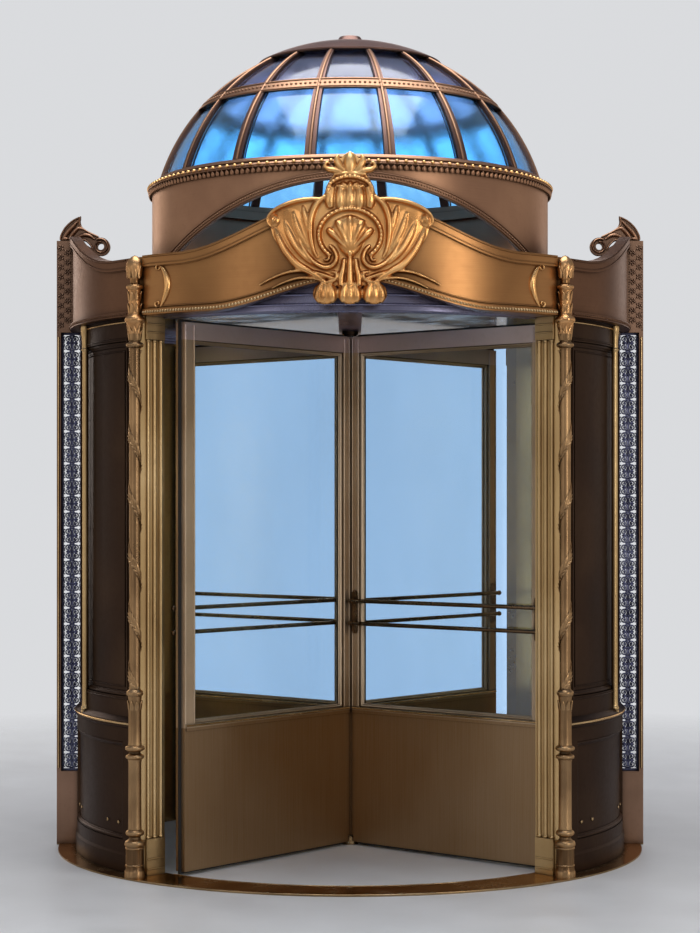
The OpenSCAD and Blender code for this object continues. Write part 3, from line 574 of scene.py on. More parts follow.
def crest_carving():
    """The crest over an opening: ringed boss, leaf wings, scrolls, lobed feet, neck, hood and finial."""
    shapes = []
    half = [(44, 66), (84, 96), (150, 116), (222, 150), (282, 208), (318, 262), (336, 316), (330, 346),
            (300, 366), (236, 386), (160, 398), (112, 402), (95, 424), (90, 448), (76, 474), (60, 494),
            (56, 524), (38, 552), (14, 576)]
    outline = half + [(-x, z) for x, z in reversed(half)]
    shapes.append(ground(outline, 9.0))

    # wings: a broad leaf of four touching folds, a rolled upper edge and a curled tip
    for s in SIDES:
        shapes.append(mound(s * 214, 270, 128, 84, 9, tilt=s * 48, lift=5.0, around=36, up=8))
        shapes.append(mound(s * 314, 322, 27, 27, 17, lift=5.0, around=28, up=8))
        shapes.append(mound(s * 314, 324, 10, 10, 25, lift=5.0))
    folds = [
        [(98, 90, 7, 16), (154, 124, 14, 23), (210, 152, 18, 24), (262, 206, 18, 23), (294, 262, 15, 20),
         (308, 296, 7, 12)],
        [(126, 146, 8, 15), (172, 178, 14, 22), (216, 224, 18, 23), (248, 278, 19, 21), (268, 326, 10, 13)],
        [(160, 214, 8, 15), (186, 252, 15, 20), (210, 300, 18, 21), (226, 350, 10, 14)],
        [(148, 246, 8, 14), (162, 290, 14, 19), (174, 336, 16, 20), (184, 374, 9, 14)],
    ]
    strokes = both_ways(folds)
    strokes += both_ways([[(104, 400, 7, 19), (150, 400, 10, 25), (206, 394, 11, 27), (262, 380, 11, 28),
                           (306, 362, 10, 28), (334, 338, 9, 26), (338, 312, 7, 23), (322, 298, 5, 20)]])
    # shoulders: a smooth leaf on either side of the ring, from the neck down
    strokes += both_ways([[(94, 410, 9, 21), (128, 378, 15, 26), (148, 328, 16, 26), (150, 268, 14, 24),
                           (140, 214, 10, 20), (124, 176, 6, 15)]])
    # the ring round the boss, open below
    ring = []
    for i in range(33):
        a = math.radians(-52 + 284 * i / 32)
        ring.append((117 * math.cos(a), 262 + 100 * math.sin(a), 11.0, 24))
    strokes.append(ring)
    # bold scrolls under the boss that run out into the wings
    strokes += both_ways([
        [(76, 222, 6, 24), (60, 206, 9, 29), (50, 180, 10, 31), (58, 154, 11, 31), (84, 138, 11, 30),
         (116, 146, 10, 29), (146, 170, 10, 26), (176, 206, 9, 22), (202, 250, 6, 17)],
        [(88, 188, 4, 18), (79, 177, 6, 24), (85, 166, 6, 25), (98, 168, 4, 20)],
    ])
    for stroke in strokes:
        shapes.append(ridge(stroke, 4))
    for i in range(31):
        a = math.radians(-46 + 272 * i / 30)
        shapes.append(bead(117 * math.cos(a), 262 + 100 * math.sin(a), 7.0, 21.5))
    # the boss: a broad, softly fluted shell that narrows to its hinge below
    shapes.append(mound(0, 274, 74, 68, 27, around=48, up=12))
    shapes.append(ridge([(0, 272, 68, 22), (0, 240, 60, 25), (0, 208, 42, 25), (0, 182, 18, 21)], 5, arch=17))
    for k in range(-2, 3):
        a = math.radians(90 - k * 23)
        reach = 122 - 7 * abs(k)
        shapes.append(ridge([(12 * math.cos(a), 196 + 10 * math.sin(a), 6, 24),
                             (0.5 * reach * math.cos(a), 202 + 0.5 * reach * math.sin(a), 11, 31),
                             (0.84 * reach * math.cos(a), 204 + 0.84 * reach * math.sin(a), 16, 31.5),
                             (1.08 * reach * math.cos(a), 204 + 1.08 * reach * math.sin(a), 13, 18)], 4))
    shapes.append(mound(0, 192, 17, 14, 30))

    # stems that run out along the lip of the arch, lower, on the band itself
    for stroke in both_ways([
        [(56, 94, 10, 31), (116, 116, 12, 30), (180, 129, 10, 27), (250, 125, 8, 22), (320, 105, 6, 18),
         (384, 78, 3, 13)],
        [(66, 76, 8, 29), (128, 97, 9, 27), (196, 102, 7, 23), (264, 88, 5, 18), (328, 64, 3, 13)],
    ]):
        shapes.append(ridge(stroke, 4, lift=-11.0))

    # trunk between the feet and the boss
    body = both_ways([
        [(34, 70, 13, 22), (33, 104, 14, 25), (26, 136, 12, 25), (21, 172, 9, 21)],
        [(112, 80, 6, 17), (78, 84, 10, 23), (54, 96, 10, 24), (52, 118, 8, 21), (72, 124, 5, 15)],
    ])
    body.append([(0, 72, 15, 26), (0, 108, 15, 29), (0, 146, 13, 28), (0, 188, 10, 24)])

    # feet: three touching lobes, each with three soft folds
    for x in (-93, 0, 93):
        shapes.append(mound(x, 42, 50, 44, 24, around=36, up=8))
        for k in (-1, 0, 1):
            body.append([(x + k * 10, 84, 8, 18), (x + k * 23, 56, 15, 26), (x + k * 27, 27, 16, 26),
                         (x + k * 23, 7, 9, 16)])

    # neck: a full cushion with soft lobes
    shapes.append(mound(0, 404, 104, 46, 21, around=44, up=8))
    for k in range(-2, 3):
        body.append([(k * 36, 366, 15, 20), (k * 38, 388, 21, 28), (k * 37, 416, 21, 29),
                     (k * 33, 446, 15, 22)])
    # beaded hood over a small fan
    hood = []
    for i in range(21):
        a = math.radians(-14 + 208 * i / 20)
        hood.append((84 * math.cos(a), 430 + 54 * math.sin(a), 9.5, 25))
    body.append(hood)
    for i in range(17):
        a = math.radians(-8 + 196 * i / 16)
        shapes.append(bead(84 * math.cos(a), 430 + 54 * math.sin(a), 7.2, 22.0))
    shapes.append(mound(0, 440, 72, 34, 15, around=32, up=6))
    for k in range(-2, 3):
        a = math.radians(90 - k * 32)
        body.append([(8 * math.cos(a), 438, 6, 18), (34 * math.cos(a), 440 + 12 * math.sin(a), 11, 23),
                     (60 * math.cos(a), 440 + 26 * math.sin(a), 8, 16)])
    # finial: a broad middle leaf and side leaves that curl outwards
    body.append([(-60, 492, 7, 18), (0, 497, 9, 26), (60, 492, 7, 18)])
    body.append([(0, 500, 16, 24), (0, 526, 26, 29), (0, 554, 21, 26), (0, 582, 5, 10)])
    body += both_ways([
        [(16, 500, 9, 18), (38, 524, 15, 24), (50, 548, 13, 22), (44, 570, 5, 12)],
        [(24, 498, 8, 19), (54, 508, 13, 24), (80, 512, 12, 25), (94, 526, 9, 24), (86, 540, 6, 21),
         (76, 532, 4, 17)],
    ])
    for stroke in body:
        shapes.append(ridge(stroke, 4))
    points, polygons = joined(shapes)
    # the leaf wings' ends are pulled in a little
    over = np.maximum(np.abs(points[:, 0]) - 140, 0)
    points[:, 0] -= np.sign(points[:, 0]) * over * 0.14
    return points, polygons


def bent(points, radius, base_z):
    """Points of (across, up, depth) laid round the drum at a radius."""
    angle = np.arcsin(np.clip(points[:, 0] / radius, -1, 1))
    out_r = radius + points[:, 2]
    return np.stack([out_r * np.sin(angle), -out_r * np.cos(angle), base_z + points[:, 1]], 1)


def fused(shape, voxel, keep):
    """A relief in millimetres made one softened skin, in metres, with a share of its faces kept."""
    points, polygons = shape
    raw = bpy.data.meshes.new("relief")
    raw.from_pydata([tuple(map(float, p * 0.001)) for p in points], [], polygons)
    work = bpy.data.objects.new("relief", raw)
    bpy.context.scene.collection.objects.link(work)
    fuse = work.modifiers.new("fuse", "REMESH")
    fuse.mode = "VOXEL"
    fuse.voxel_size = voxel
    fuse.use_smooth_shade = True
    soften = work.modifiers.new("soften", "SMOOTH")
    soften.factor = 0.5
    soften.iterations = 3
    thin = work.modifiers.new("thin", "DECIMATE")
    thin.ratio = keep
    skin = bpy.data.meshes.new_from_object(work.evaluated_get(bpy.context.evaluated_depsgraph_get()))
    bpy.data.objects.remove(work)
    return shape_of(skin)


# Rows: an item repeated along paths by Geometry Nodes

def row_tree():
    tree = bpy.data.node_groups.new("row_along_paths", "GeometryNodeTree")
    face = tree.interface
    face.new_socket("Paths", in_out="INPUT", socket_type="NodeSocketGeometry")
    face.new_socket("Item", in_out="INPUT", socket_type="NodeSocketObject")
    face.new_socket("Pitch", in_out="INPUT", socket_type="NodeSocketFloat")
    face.new_socket("Axis", in_out="INPUT", socket_type="NodeSocketVector")
    face.new_socket("Spread", in_out="INPUT", socket_type="NodeSocketVector")
    face.new_socket("Finish", in_out="INPUT", socket_type="NodeSocketMaterial")
    face.new_socket("Row", in_out="OUTPUT", socket_type="NodeSocketGeometry")
    new = tree.nodes.new
    link = tree.links.new
    given = new("NodeGroupInput")
    result = new("NodeGroupOutput")
    line = new("GeometryNodeMeshToCurve")
    even = new("GeometryNodeResampleCurve")
    even.mode = "LENGTH"
    item = new("GeometryNodeObjectInfo")
    here = new("GeometryNodeInputPosition")
    run = new("GeometryNodeInputTangent")
    away = new("ShaderNodeVectorMath")
    away.operation = "SUBTRACT"
    level = new("ShaderNodeVectorMath")
    level.operation = "MULTIPLY"
    along = new("FunctionNodeAlignRotationToVector")
    along.axis = "X"
    facing = new("FunctionNodeAlignRotationToVector")
    facing.axis = "Z"
    facing.pivot_axis = "X"
    copies = new("GeometryNodeInstanceOnPoints")
    real = new("GeometryNodeRealizeInstances")
    coat = new("GeometryNodeSetMaterial")
    link(given.outputs["Paths"], line.inputs["Mesh"])
    link(line.outputs["Curve"], even.inputs["Curve"])
    link(given.outputs["Pitch"], even.inputs["Length"])
    link(given.outputs["Item"], item.inputs["Object"])
    link(here.outputs["Position"], away.inputs[0])
    link(given.outputs["Axis"], away.inputs[1])
    link(away.outputs["Vector"], level.inputs[0])
    link(given.outputs["Spread"], level.inputs[1])
    link(run.outputs["Tangent"], along.inputs["Vector"])
    link(along.outputs["Rotation"], facing.inputs["Rotation"])
    link(level.outputs["Vector"], facing.inputs["Vector"])
    link(even.outputs["Curve"], copies.inputs["Points"])
    link(item.outputs["Geometry"], copies.inputs["Instance"])
    link(facing.outputs["Rotation"], copies.inputs["Rotation"])
    link(copies.outputs["Instances"], real.inputs["Geometry"])
    link(real.outputs["Geometry"], coat.inputs["Geometry"])
    link(given.outputs["Finish"], coat.inputs["Material"])
    link(coat.outputs["Geometry"], result.inputs["Row"])
    return tree


ROWS = row_tree()


def row_mesh(paths, item_mesh, pitch, finish, axis=(0, 0, 0), spread=(1, 1, 0)):
    """Copies face away from the axis, in the directions of spread. A path back to its start is closed."""
    points = []
    edges = []
    for path in paths:
        path = [tuple(map(float, p)) for p in path]
        whole = np.linalg.norm(np.subtract(path[0], path[-1])) < 1e-7
        if whole:
            path = path[:-1]
        first = len(points)
        points += path
        edges += [(first + i, first + i + 1) for i in range(len(path) - 1)]
        if whole:
            edges.append((first + len(path) - 1, first))
    guide_mesh = bpy.data.meshes.new("guide")
    guide_mesh.from_pydata(points, edges, [])
    guide = bpy.data.objects.new("guide", guide_mesh)
    item = bpy.data.objects.new("item", item_mesh)
    for thing in (guide, item):
        bpy.context.scene.collection.objects.link(thing)
    maker = guide.modifiers.new("row", "NODES")
    maker.node_group = ROWS
    values = {"Item": item, "Pitch": pitch, "Axis": axis, "Spread": spread, "Finish": finish}
    for socket in ROWS.interface.items_tree:
        if socket.item_type == "SOCKET" and socket.in_out == "INPUT" and socket.name in values:
            maker[socket.identifier] = values[socket.name]
    bpy.context.view_layer.update()
    evaluated = guide.evaluated_get(bpy.context.evaluated_depsgraph_get())
    mesh = bpy.data.meshes.new_from_object(evaluated)
    guide.modifiers.clear()
    for thing in (guide, item):
        bpy.data.objects.remove(thing)
    return mesh


def add_row(name, paths, item_mesh, pitch, finish, body, axis=(0, 0, 0), spread=(1, 1, 0)):
    mesh = row_mesh(paths, item_mesh, pitch, finish, axis, spread)
    return place(name, mesh, finish, body, sharp=60)


def shape_of(mesh):
    """A mesh as corners and faces again, so that it can be joined with others."""
    points = np.zeros(len(mesh.vertices) * 3)
    mesh.vertices.foreach_get("co", points)
    return points.reshape(-1, 3), [list(p.vertices) for p in mesh.polygons]


def circle_path(r, z, n, start=0.0, arc=360.0):
    return [on_drum(r, start + arc * i / n, z) for i in range(n + 1)]


# Items for the rows: X along the row, Z off the surface

def bead_item(r, around=10):
    rows = []
    up = around // 2
    for j in range(up):
        e = -0.5 + (math.pi / 2 + 0.5) * j / up
        for i in range(around):
            a = 2 * math.pi * i / around
            rows.append((r * math.cos(e) * math.cos(a), r * math.cos(e) * math.sin(a), r * math.sin(e)))
    rows.append((0, 0, r))
    last = (up - 1) * around
    polygons = strip_faces(up, around, False, True)
    polygons += [[last + i, last + (i + 1) % around, len(rows) - 1] for i in range(around)]
    polygons.append(list(range(around))[::-1])
    return make_mesh("bead_item", (rows, polygons))


def leaf_shape(length, width, thick, lean=0.0, upright=False):
    """A pointed leaf with a raised midrib; it grows along X, or along Y where upright."""
    n = 7
    rows = []
    for i in range(n):
        t = i / (n - 1)
        half = width / 2 * (math.sin(math.pi * min(1.0, 0.12 + 0.88 * t) ** 0.8) ** 0.75 if t < 1 else 0.03)
        rise = thick * (0.35 + 0.3 * math.sin(math.pi * t)) + lean * t * t
        for s, high in ((-1, 0.15), (-0.5, 0.75), (0, 1.0), (0.5, 0.75), (1, 0.15)):
            rows.append((length * (t - 0.5), half * s, rise + thick * (high - 1.0) * 0.8))
        rows.append((length * (t - 0.5), 0.0, rise - thick * 1.6))
    polygons = strip_faces(n, 6, False, True)
    polygons.append(list(range(6)))
    polygons.append([len(rows) - 1 - i for i in range(6)])
    rows = np.array(rows)
    if upright:
        rows = rows[:, [1, 0, 2]] * np.array([-1, 1, 1])
    return rows, polygons


def leaf_pair_item(length, width, thick, spread):
    shapes = []
    for s in SIDES:
        rows, polygons = leaf_shape(length, width, thick)
        a = s * spread
        turned_rows = rows.copy()
        turned_rows[:, 0] = rows[:, 0] * math.cos(a) - rows[:, 1] * math.sin(a)
        turned_rows[:, 1] = rows[:, 0] * math.sin(a) + rows[:, 1] * math.cos(a) + s * width * 0.42
        shapes.append((turned_rows, polygons))
    return make_mesh("leaf_pair_item", joined(shapes))


def screw_item(r, high):
    """A round screw head with a slot."""
    ring = [2 * math.pi * i / 12 for i in range(12)]
    rows = [(r * math.cos(a), r * math.sin(a), -high * 0.2) for a in ring]
    rows += [(r * math.cos(a), r * math.sin(a), high * 0.55) for a in ring]
    rows += [(r * 0.72 * math.cos(a), r * 0.72 * math.sin(a), high) for a in ring]
    cap = strip_faces(3, 12, False, True) + [list(range(12))[::-1], list(range(24, 36))]
    slot = [(x * r * 0.66, y * r * 0.12, z) for z in (high * 1.0, high * 1.12) for x, y in
            ((-1, -1), (1, -1), (1, 1), (-1, 1))]
    slot_faces = [[0, 3, 2, 1], [4, 5, 6, 7], [0, 1, 5, 4], [1, 2, 6, 5], [2, 3, 7, 6], [3, 0, 4, 7]]
    return make_mesh("screw_item", joined([(rows, cap), (slot, slot_faces)]))


# Profiles of mouldings: (along the surface, off the surface), going round once

def half_round(width, high):
    arc = [math.pi * i / 6 for i in range(7)]
    top = [(-0.5 * width * math.cos(a), high * math.sin(a)) for a in arc]
    return top + [(0.5 * width, -0.001), (-0.5 * width, -0.001)]


def ogee(width, high):
    rise = [(0.0, 0.10), (0.12, 0.38), (0.22, 0.46), (0.30, 0.46), (0.38, 0.62), (0.50, 0.86), (0.66, 0.98),
            (0.80, 1.0), (0.92, 0.94), (1.0, 0.70)]
    return [(width * (a - 0.5), high * b) for a, b in rise] + [(0.5 * width, -0.001), (-0.5 * width, -0.001)]


# Scene: camera, lamps, backdrop and floor

def set_camera():
    lens = bpy.data.cameras.new("camera")
    lens.lens = 82.0
    lens.sensor_width = 36.0
    lens.sensor_fit = "AUTO"
    lens.shift_y = 0.040
    lens.clip_end = 200.0
    camera = bpy.data.objects.new("camera", lens)
    camera.location = (0.0, -9.306, 1.487)
    camera.rotation_euler = (math.radians(90), 0.0, 0.0)
    bpy.context.scene.collection.objects.link(camera)
    bpy.context.scene.camera = camera
    bpy.context.scene.view_settings.view_transform = "Standard"


def add_lamp(name, where, target, size, power, colour):
    light = bpy.data.lights.new(name, "AREA")
    light.shape = "RECTANGLE"
    light.size = size[0]
    light.size_y = size[1]
    light.energy = power
    light.color = colour
    lamp = bpy.data.objects.new(name, light)
    lamp.location = where
    aim = np.subtract(target, where)
    flat = math.hypot(aim[0], aim[1])
    lamp.rotation_euler = (math.atan2(flat, -aim[2]), 0.0, math.atan2(-aim[0], aim[1]))
    bpy.context.scene.collection.objects.link(lamp)


def light_room():
    for s in SIDES:
        add_lamp(f"strip_{s}", (-s * 4.6, s * 5.6, 2.7), (0, 0, 1.9), (1.2, 3.6), 68 - 12 * s,
                 (1.0, 0.94, 0.85))
        add_lamp(f"soft_{s}", (s * 5.2, s * 6.4, 2.6), (0, 0, 1.7), (2.4, 3.4), 27, (1.0, 0.95, 0.89))
        add_lamp(f"fill_{s}", (0, s * 8.6, 5.6), (0, 0, 2.2), (5.0, 2.6), 70, (1.0, 0.98, 0.95))
        for depth in SIDES:
            add_lamp(f"flank_{s}_{depth}", (s * 6.4, depth * 1.7, 1.8), (0, 0, 1.7), (2.4, 3.8), 13,
                     (1.0, 0.94, 0.86))
    add_lamp("overhead", (0, -0.6, 6.6), (0, 0, 1.5), (4.0, 4.0), 260, (0.94, 0.97, 1.0))
    room = bpy.data.worlds.new("studio")
    bpy.context.scene.world = room
    room.use_nodes = True
    tree = room.node_tree
    tree.nodes.clear()
    new = tree.nodes.new
    link = tree.links.new
    place_in_room = new("ShaderNodeTexCoord")
    parts = new("ShaderNodeSeparateXYZ")
    link(place_in_room.outputs["Generated"], parts.inputs["Vector"])
    glow = new("ShaderNodeValToRGB")
    bar = glow.color_ramp
    bar.elements[0].position = 0.30
    bar.elements[0].color = (0.24, 0.20, 0.17, 1)
    bar.elements[1].position = 0.85
    bar.elements[1].color = (0.17, 0.20, 0.28, 1)
    middle = bar.elements.new(0.52)
    middle.color = (0.34, 0.31, 0.28, 1)
    lift = new("ShaderNodeMapRange")
    lift.inputs["From Min"].default_value = -1.0
    link(parts.outputs["Z"], lift.inputs["Value"])
    link(lift.outputs["Result"], glow.inputs["Fac"])
    around = new("ShaderNodeBackground")
    link(glow.outputs["Color"], around.inputs["Color"])
    around.inputs["Strength"].default_value = 1.0
    pale = new("ShaderNodeBackground")
    ray = new("ShaderNodeLightPath")
    behind = new("ShaderNodeValToRGB")
    behind.color_ramp.elements[0].color = (0.70, 0.71, 0.73, 1)
    behind.color_ramp.elements[1].color = (0.52, 0.73, 1.0, 1)
    link(ray.outputs["Is Transmission Ray"], behind.inputs["Fac"])
    link(behind.outputs["Color"], pale.inputs["Color"])
    seen = new("ShaderNodeMath")
    seen.operation = "ADD"
    link(ray.outputs["Is Camera Ray"], seen.inputs[0])
    link(ray.outputs["Is Transmission Ray"], seen.inputs[1])
    mirrored = new("ShaderNodeMath")
    mirrored.operation = "MULTIPLY_ADD"
    mirrored.use_clamp = True
    link(ray.outputs["Is Glossy Ray"], mirrored.inputs[0])
    mirrored.inputs[1].default_value = 0.16
    link(seen.outputs[0], mirrored.inputs[2])
    mixed = new("ShaderNodeMixShader")
    link(mirrored.outputs[0], mixed.inputs["Fac"])
    link(around.outputs["Background"], mixed.inputs[1])
    link(pale.outputs["Background"], mixed.inputs[2])
    end = new("ShaderNodeOutputWorld")
    link(mixed.outputs["Shader"], end.inputs["Surface"])


def lay_floor():
    stone = Finish("pale_floor")
    grain = stone.noise(3.0, 6.0, 0.6)
    stone.put("Base Color", stone.ramp(grain, [(0.3, (0.70, 0.69, 0.67, 1)), (0.7, (0.77, 0.76, 0.74, 1))]))
    stone.put("Roughness", stone.span(grain, 0.3, 0.7, 0.35, 0.5))
    far = stone.add("ShaderNodeVectorMath", operation="LENGTH")
    stone.join(stone.place, far.inputs[0])
    stone.put("Alpha", stone.span(far.outputs["Value"], 3.0, 6.2, 1.0, 0.0))
    reach = 16.0
    sides = 96
    points = [(*on_drum(reach, 360 * i / sides, 0)[:2], -0.0006) for i in range(sides)]
    mesh = bpy.data.meshes.new("floor")
    mesh.from_pydata(points, [], [list(range(sides))])
    mesh.materials.append(stone.material)
    floor = bpy.data.objects.new("floor", mesh)
    bpy.context.scene.collection.objects.link(floor)


set_camera()
light_room()
lay_floor()


# The curves of the canopy, as in the part's source

def bell(u, flat, half):
    return (1 + math.cos(math.pi * min(1.0, max(0.0, (abs(u) - flat) / (half - flat))))) / 2


def arch_z(u):
    return WALL_TOP + 0.110 * bell(u, 0.0, 0.560)


def crown_z(u):
    return BAND_TOP + 0.172 * bell(u, 0.080, 0.680)


def side_z(u):
    return BAND_TOP - 0.005 + 0.170 * bell(u, 0.150, 0.760)


def along_band(height, reach, r, rise):
    """Points along a band at a radius, rise above one of the canopy's curves."""
    across = [reach * (2 * i / 90 - 1) for i in range(91)]
    return [(u, -math.sqrt(r * r - u * u), height(u) + rise) for u in across]


def beside_pier(path):
    """The two stretches of a path along a side band, on either side of the pier's head."""
    return path[:44], path[47:]


def away_from_axis(path):
    flat = np.array(path)
    flat[:, 2] = 0
    return flat / np.linalg.norm(flat, axis=1)[:, None]


def to_side(points, side):
    """From the near opening to the right (1) or left (-1) side."""
    p = np.asarray(points, float)
    return np.stack([-side * p[:, 1], side * p[:, 0], p[:, 2]], 1)


# Crests

def make_crests():
    points, polygons = fused(crest_carving(), 0.0028, 0.7)
    relief = (bent(points, MOULDING_R + 0.0003, CREST_FOOT), polygons)
    for face, turn in (("front", 0), ("back", 180)):
        raw_points, raw_faces = turn_about_axis(relief, turn)
        mesh = bpy.data.meshes.new(f"crest_carving_{face}")
        mesh.from_pydata([tuple(map(float, p)) for p in raw_points], [], raw_faces)
        work = bmesh.new()
        work.from_mesh(mesh)
        bmesh.ops.recalc_face_normals(work, faces=work.faces)
        work.to_mesh(mesh)
        work.free()
        place(f"crest_carving_{face}", mesh, gilt_carved, "surround", (f"crest_{face}",),
              sharp=75)


# Columns: a turned shaft with a garland wound round it

def bulge(r0, r1, z0, z1, n=7):
    """The profile of a ring that swells from one radius to another and back."""
    share = [i / (n - 1) for i in range(n)]
    return [(r0 + (r1 - r0) * math.sin(math.pi * t) ** 0.6, z0 + (z1 - z0) * t) for t in share]


def column_shape():
    profile = [(0.0, 0.006), (0.041, 0.006), (0.041, 0.030), (0.0385, 0.035), (0.036, 0.042), (0.036, 0.126)]
    profile += bulge(0.0365, 0.041, 0.128, 0.150)
    profile += [(0.030, 0.153), (0.0235, 0.160), (0.0225, 0.166)]
    profile += bulge(0.027, 0.037, 0.170, 0.194)
    profile += [(0.0275, 0.198), (0.0262, 0.206), (0.0256, 0.330), (0.0256, 0.462), (0.0275, 0.470)]
    profile += bulge(0.028, 0.037, 0.474, 0.494)
    profile += [(0.0225, 0.498), (0.0225, 0.504)]
    profile += bulge(0.028, 0.039, 0.506, 0.529)
    profile += [(0.0275, 0.533), (0.0262, 0.542), (0.0258, 0.640), (0.0262, 0.712), (0.0275, 0.722)]
    profile += bulge(0.0275, 0.034, 0.725, 0.747)
    profile += [(0.0225, 0.752), (0.0218, 0.760), (0.0222, 1.20), (0.0222, 1.70), (0.0214, 2.094),
                (0.0225, 2.102)]
    profile += bulge(0.023, 0.035, 2.105, 2.129)
    profile += [(0.0225, 2.133), (0.0215, 2.140), (0.0222, 2.158), (0.0250, 2.178), (0.0315, 2.196),
                (0.033, 2.202)]
    profile += bulge(0.034, 0.040, 2.205, 2.229)
    profile += [(0.0285, 2.233), (0.0258, 2.242), (0.0250, 2.285), (0.0258, 2.326), (0.0275, 2.333)]
    profile += bulge(0.028, 0.0352, 2.336, 2.356)
    profile += [(0.0185, 2.360), (0.0180, 2.374), (0.0235, 2.384), (0.0305, 2.400), (0.0350, 2.420),
                (0.0335, 2.438), (0.0265, 2.454), (0.0130, 2.467), (0.0, 2.473)]
    shapes = [turned(profile, 40)]
    stem = []
    a_turn = 28
    turns = (WOUND_Z1 - WOUND_Z0 - 0.034) / WOUND_PITCH
    for i in range(int(turns * a_turn) + 1):
        stem.append(on_drum(0.0222, 360 * i / a_turn, WOUND_Z0 + 0.020 + WOUND_PITCH * i / a_turn))
    shapes.append(rod(stem, 0.0032, 6))
    garland = row_mesh([stem], leaf_pair_item(0.034, 0.0165, 0.0042, 0.42), 0.0170, gilt_carved)
    shapes.append(shape_of(garland))
    bud = leaf_shape(0.050, 0.020, 0.0045, lean=0.006, upright=True)
    leaf = leaf_shape(0.060, 0.021, 0.0050, lean=0.010, upright=True)
    small = leaf_shape(0.038, 0.019, 0.0042, lean=0.005, upright=True)
    for item, r, z in ((leaf, 0.0225, 2.166), (small, 0.0250, 2.154), (bud, 0.0300, 2.405),
                       (small, 0.0256, 2.262), (small, 0.0256, 2.310), (small, 0.0262, 0.688)):
        ring = circle_path(r, z, 64, start=22.5 if item is small else 0.0)
        eighth = 2 * math.pi * r / 7.98
        shapes.append(shape_of(row_mesh([ring], make_mesh("leaf", item), eighth, gilt_carved)))
    for z in (0.050, 0.118):
        band = bulge(0.0358, 0.0385, z, z + 0.008, 6) + [(0.035, z + 0.004), (0.0358, z)]
        shapes.append(turned(band, 40))
    return joined(shapes)


def make_columns():
    points, polygons = column_shape()
    points = points + np.array([*on_drum(COLUMN_R, COLUMN_ANGLE, 0)[:2], 0])
    for name, corner in CORNERS.items():
        add_piece(f"wound_column_{name}", [flipped((points, polygons), *corner)], column_bronze, "surround",
                  (f"column_{name}",))


# Walls: mouldings round the panels, bright lines, fixing screws and slender shafts

def panel_frame(a0, a1, z0, z1, r, profile):
    path = [(a, z0) for a in np.linspace(a0, a1, 25)] + [(a1, z) for z in np.linspace(z0, z1, 4)[1:]]
    path += [(a, z1) for a in np.linspace(a1, a0, 25)[1:]] + [(a0, z) for z in np.linspace(z1, z0, 4)[1:-1]]
    points = [on_drum(r, a, z) for a, z in path]
    outward = [outward_at(a) for a, _ in path]
    return swept(points, outward, profile, closed=True)


def make_wall_mouldings():
    a0 = OPENING_HALF + JAMB_ARC
    a1 = 90 - math.degrees(math.asin(PIER_HALF / FRAME_R))
    inner0 = a0 + 3.0
    inner1 = a1 - 3.0
    step = math.degrees(0.011 / PANEL_R)
    frames = (
        (1.0, 0.721, 2.132, PANEL_R, ogee(0.022, 0.013)),
        (3.2, 0.748, 2.105, PANEL_R, half_round(0.006, 0.0035)),
        (-0.9, 0.700, 2.153, FRAME_R, half_round(0.007, 0.004)),
        (0.9, 0.146, 0.520, FRAME_R + 0.002, ogee(0.020, 0.012)),
    )
    dark = [panel_frame(inner0 + inset * step, inner1 - inset * step, z0, z1, r, profile)
            for inset, z0, z1, r, profile in frames]
    add_piece("wall_mouldings", at_corners(dark), wall_bronze, "surround")
    bright = []
    for r, z, width in ((BASE_R + 0.0055, BASE_TOP + 0.004, 0.010), (FRAME_R, WALL_TOP - 0.016, 0.008)):
        path = [on_drum(r, a, z) for a in np.linspace(a0, a1, 40)]
        bright.append(swept(path, away_from_axis(path), half_round(width, width * 0.55)))
    add_piece("wall_bright_lines", at_corners(bright), brass, "surround")
    panel_r = BASE_R - 0.0118
    paths = []
    for sx, sy in CORNERS.values():
        for a in (53.0, 57.5, 76.0, 80.5):
            spot = (on_drum(panel_r, a - 0.06, 0.200), on_drum(panel_r, a + 0.06, 0.200))
            paths.append([(x * sx, y * sy, z) for x, y, z in spot])
    add_row("wall_screws", paths, screw_item(0.0065, 0.0028), 0.02, brass, "surround")


def make_wall_shafts():
    """A slender shaft with a ringed foot and cap in front of each wall, towards its pier."""
    low = BASE_TOP + 0.004
    high = WALL_TOP - 0.001
    line = [(0.0, low), (0.0185, low), (0.0185, low + 0.014)]
    line += bulge(0.0150, 0.0190, low + 0.017, low + 0.033, 6)
    line += [(0.0142, low + 0.040), (0.0134, low + 0.060)]
    line += [(0.0126, high - 0.110)] + bulge(0.0132, 0.0164, high - 0.106, high - 0.094, 6)
    line += [(0.0134, high - 0.090), (0.0142, high - 0.060), (0.0176, high - 0.026), (0.0190, high - 0.022)]
    line += [(0.0190, high), (0.0, high)]
    x, y = on_drum(FRAME_R + 0.004, SHAFT_ANGLE, 0)[:2]
    shafts = [turned(line, 20, (sx * x, sy * y)) for sx, sy in CORNERS.values()]
    add_piece("wall_shafts", shafts, gilt_post, "surround")


# Jambs: caps and feet over the reeds

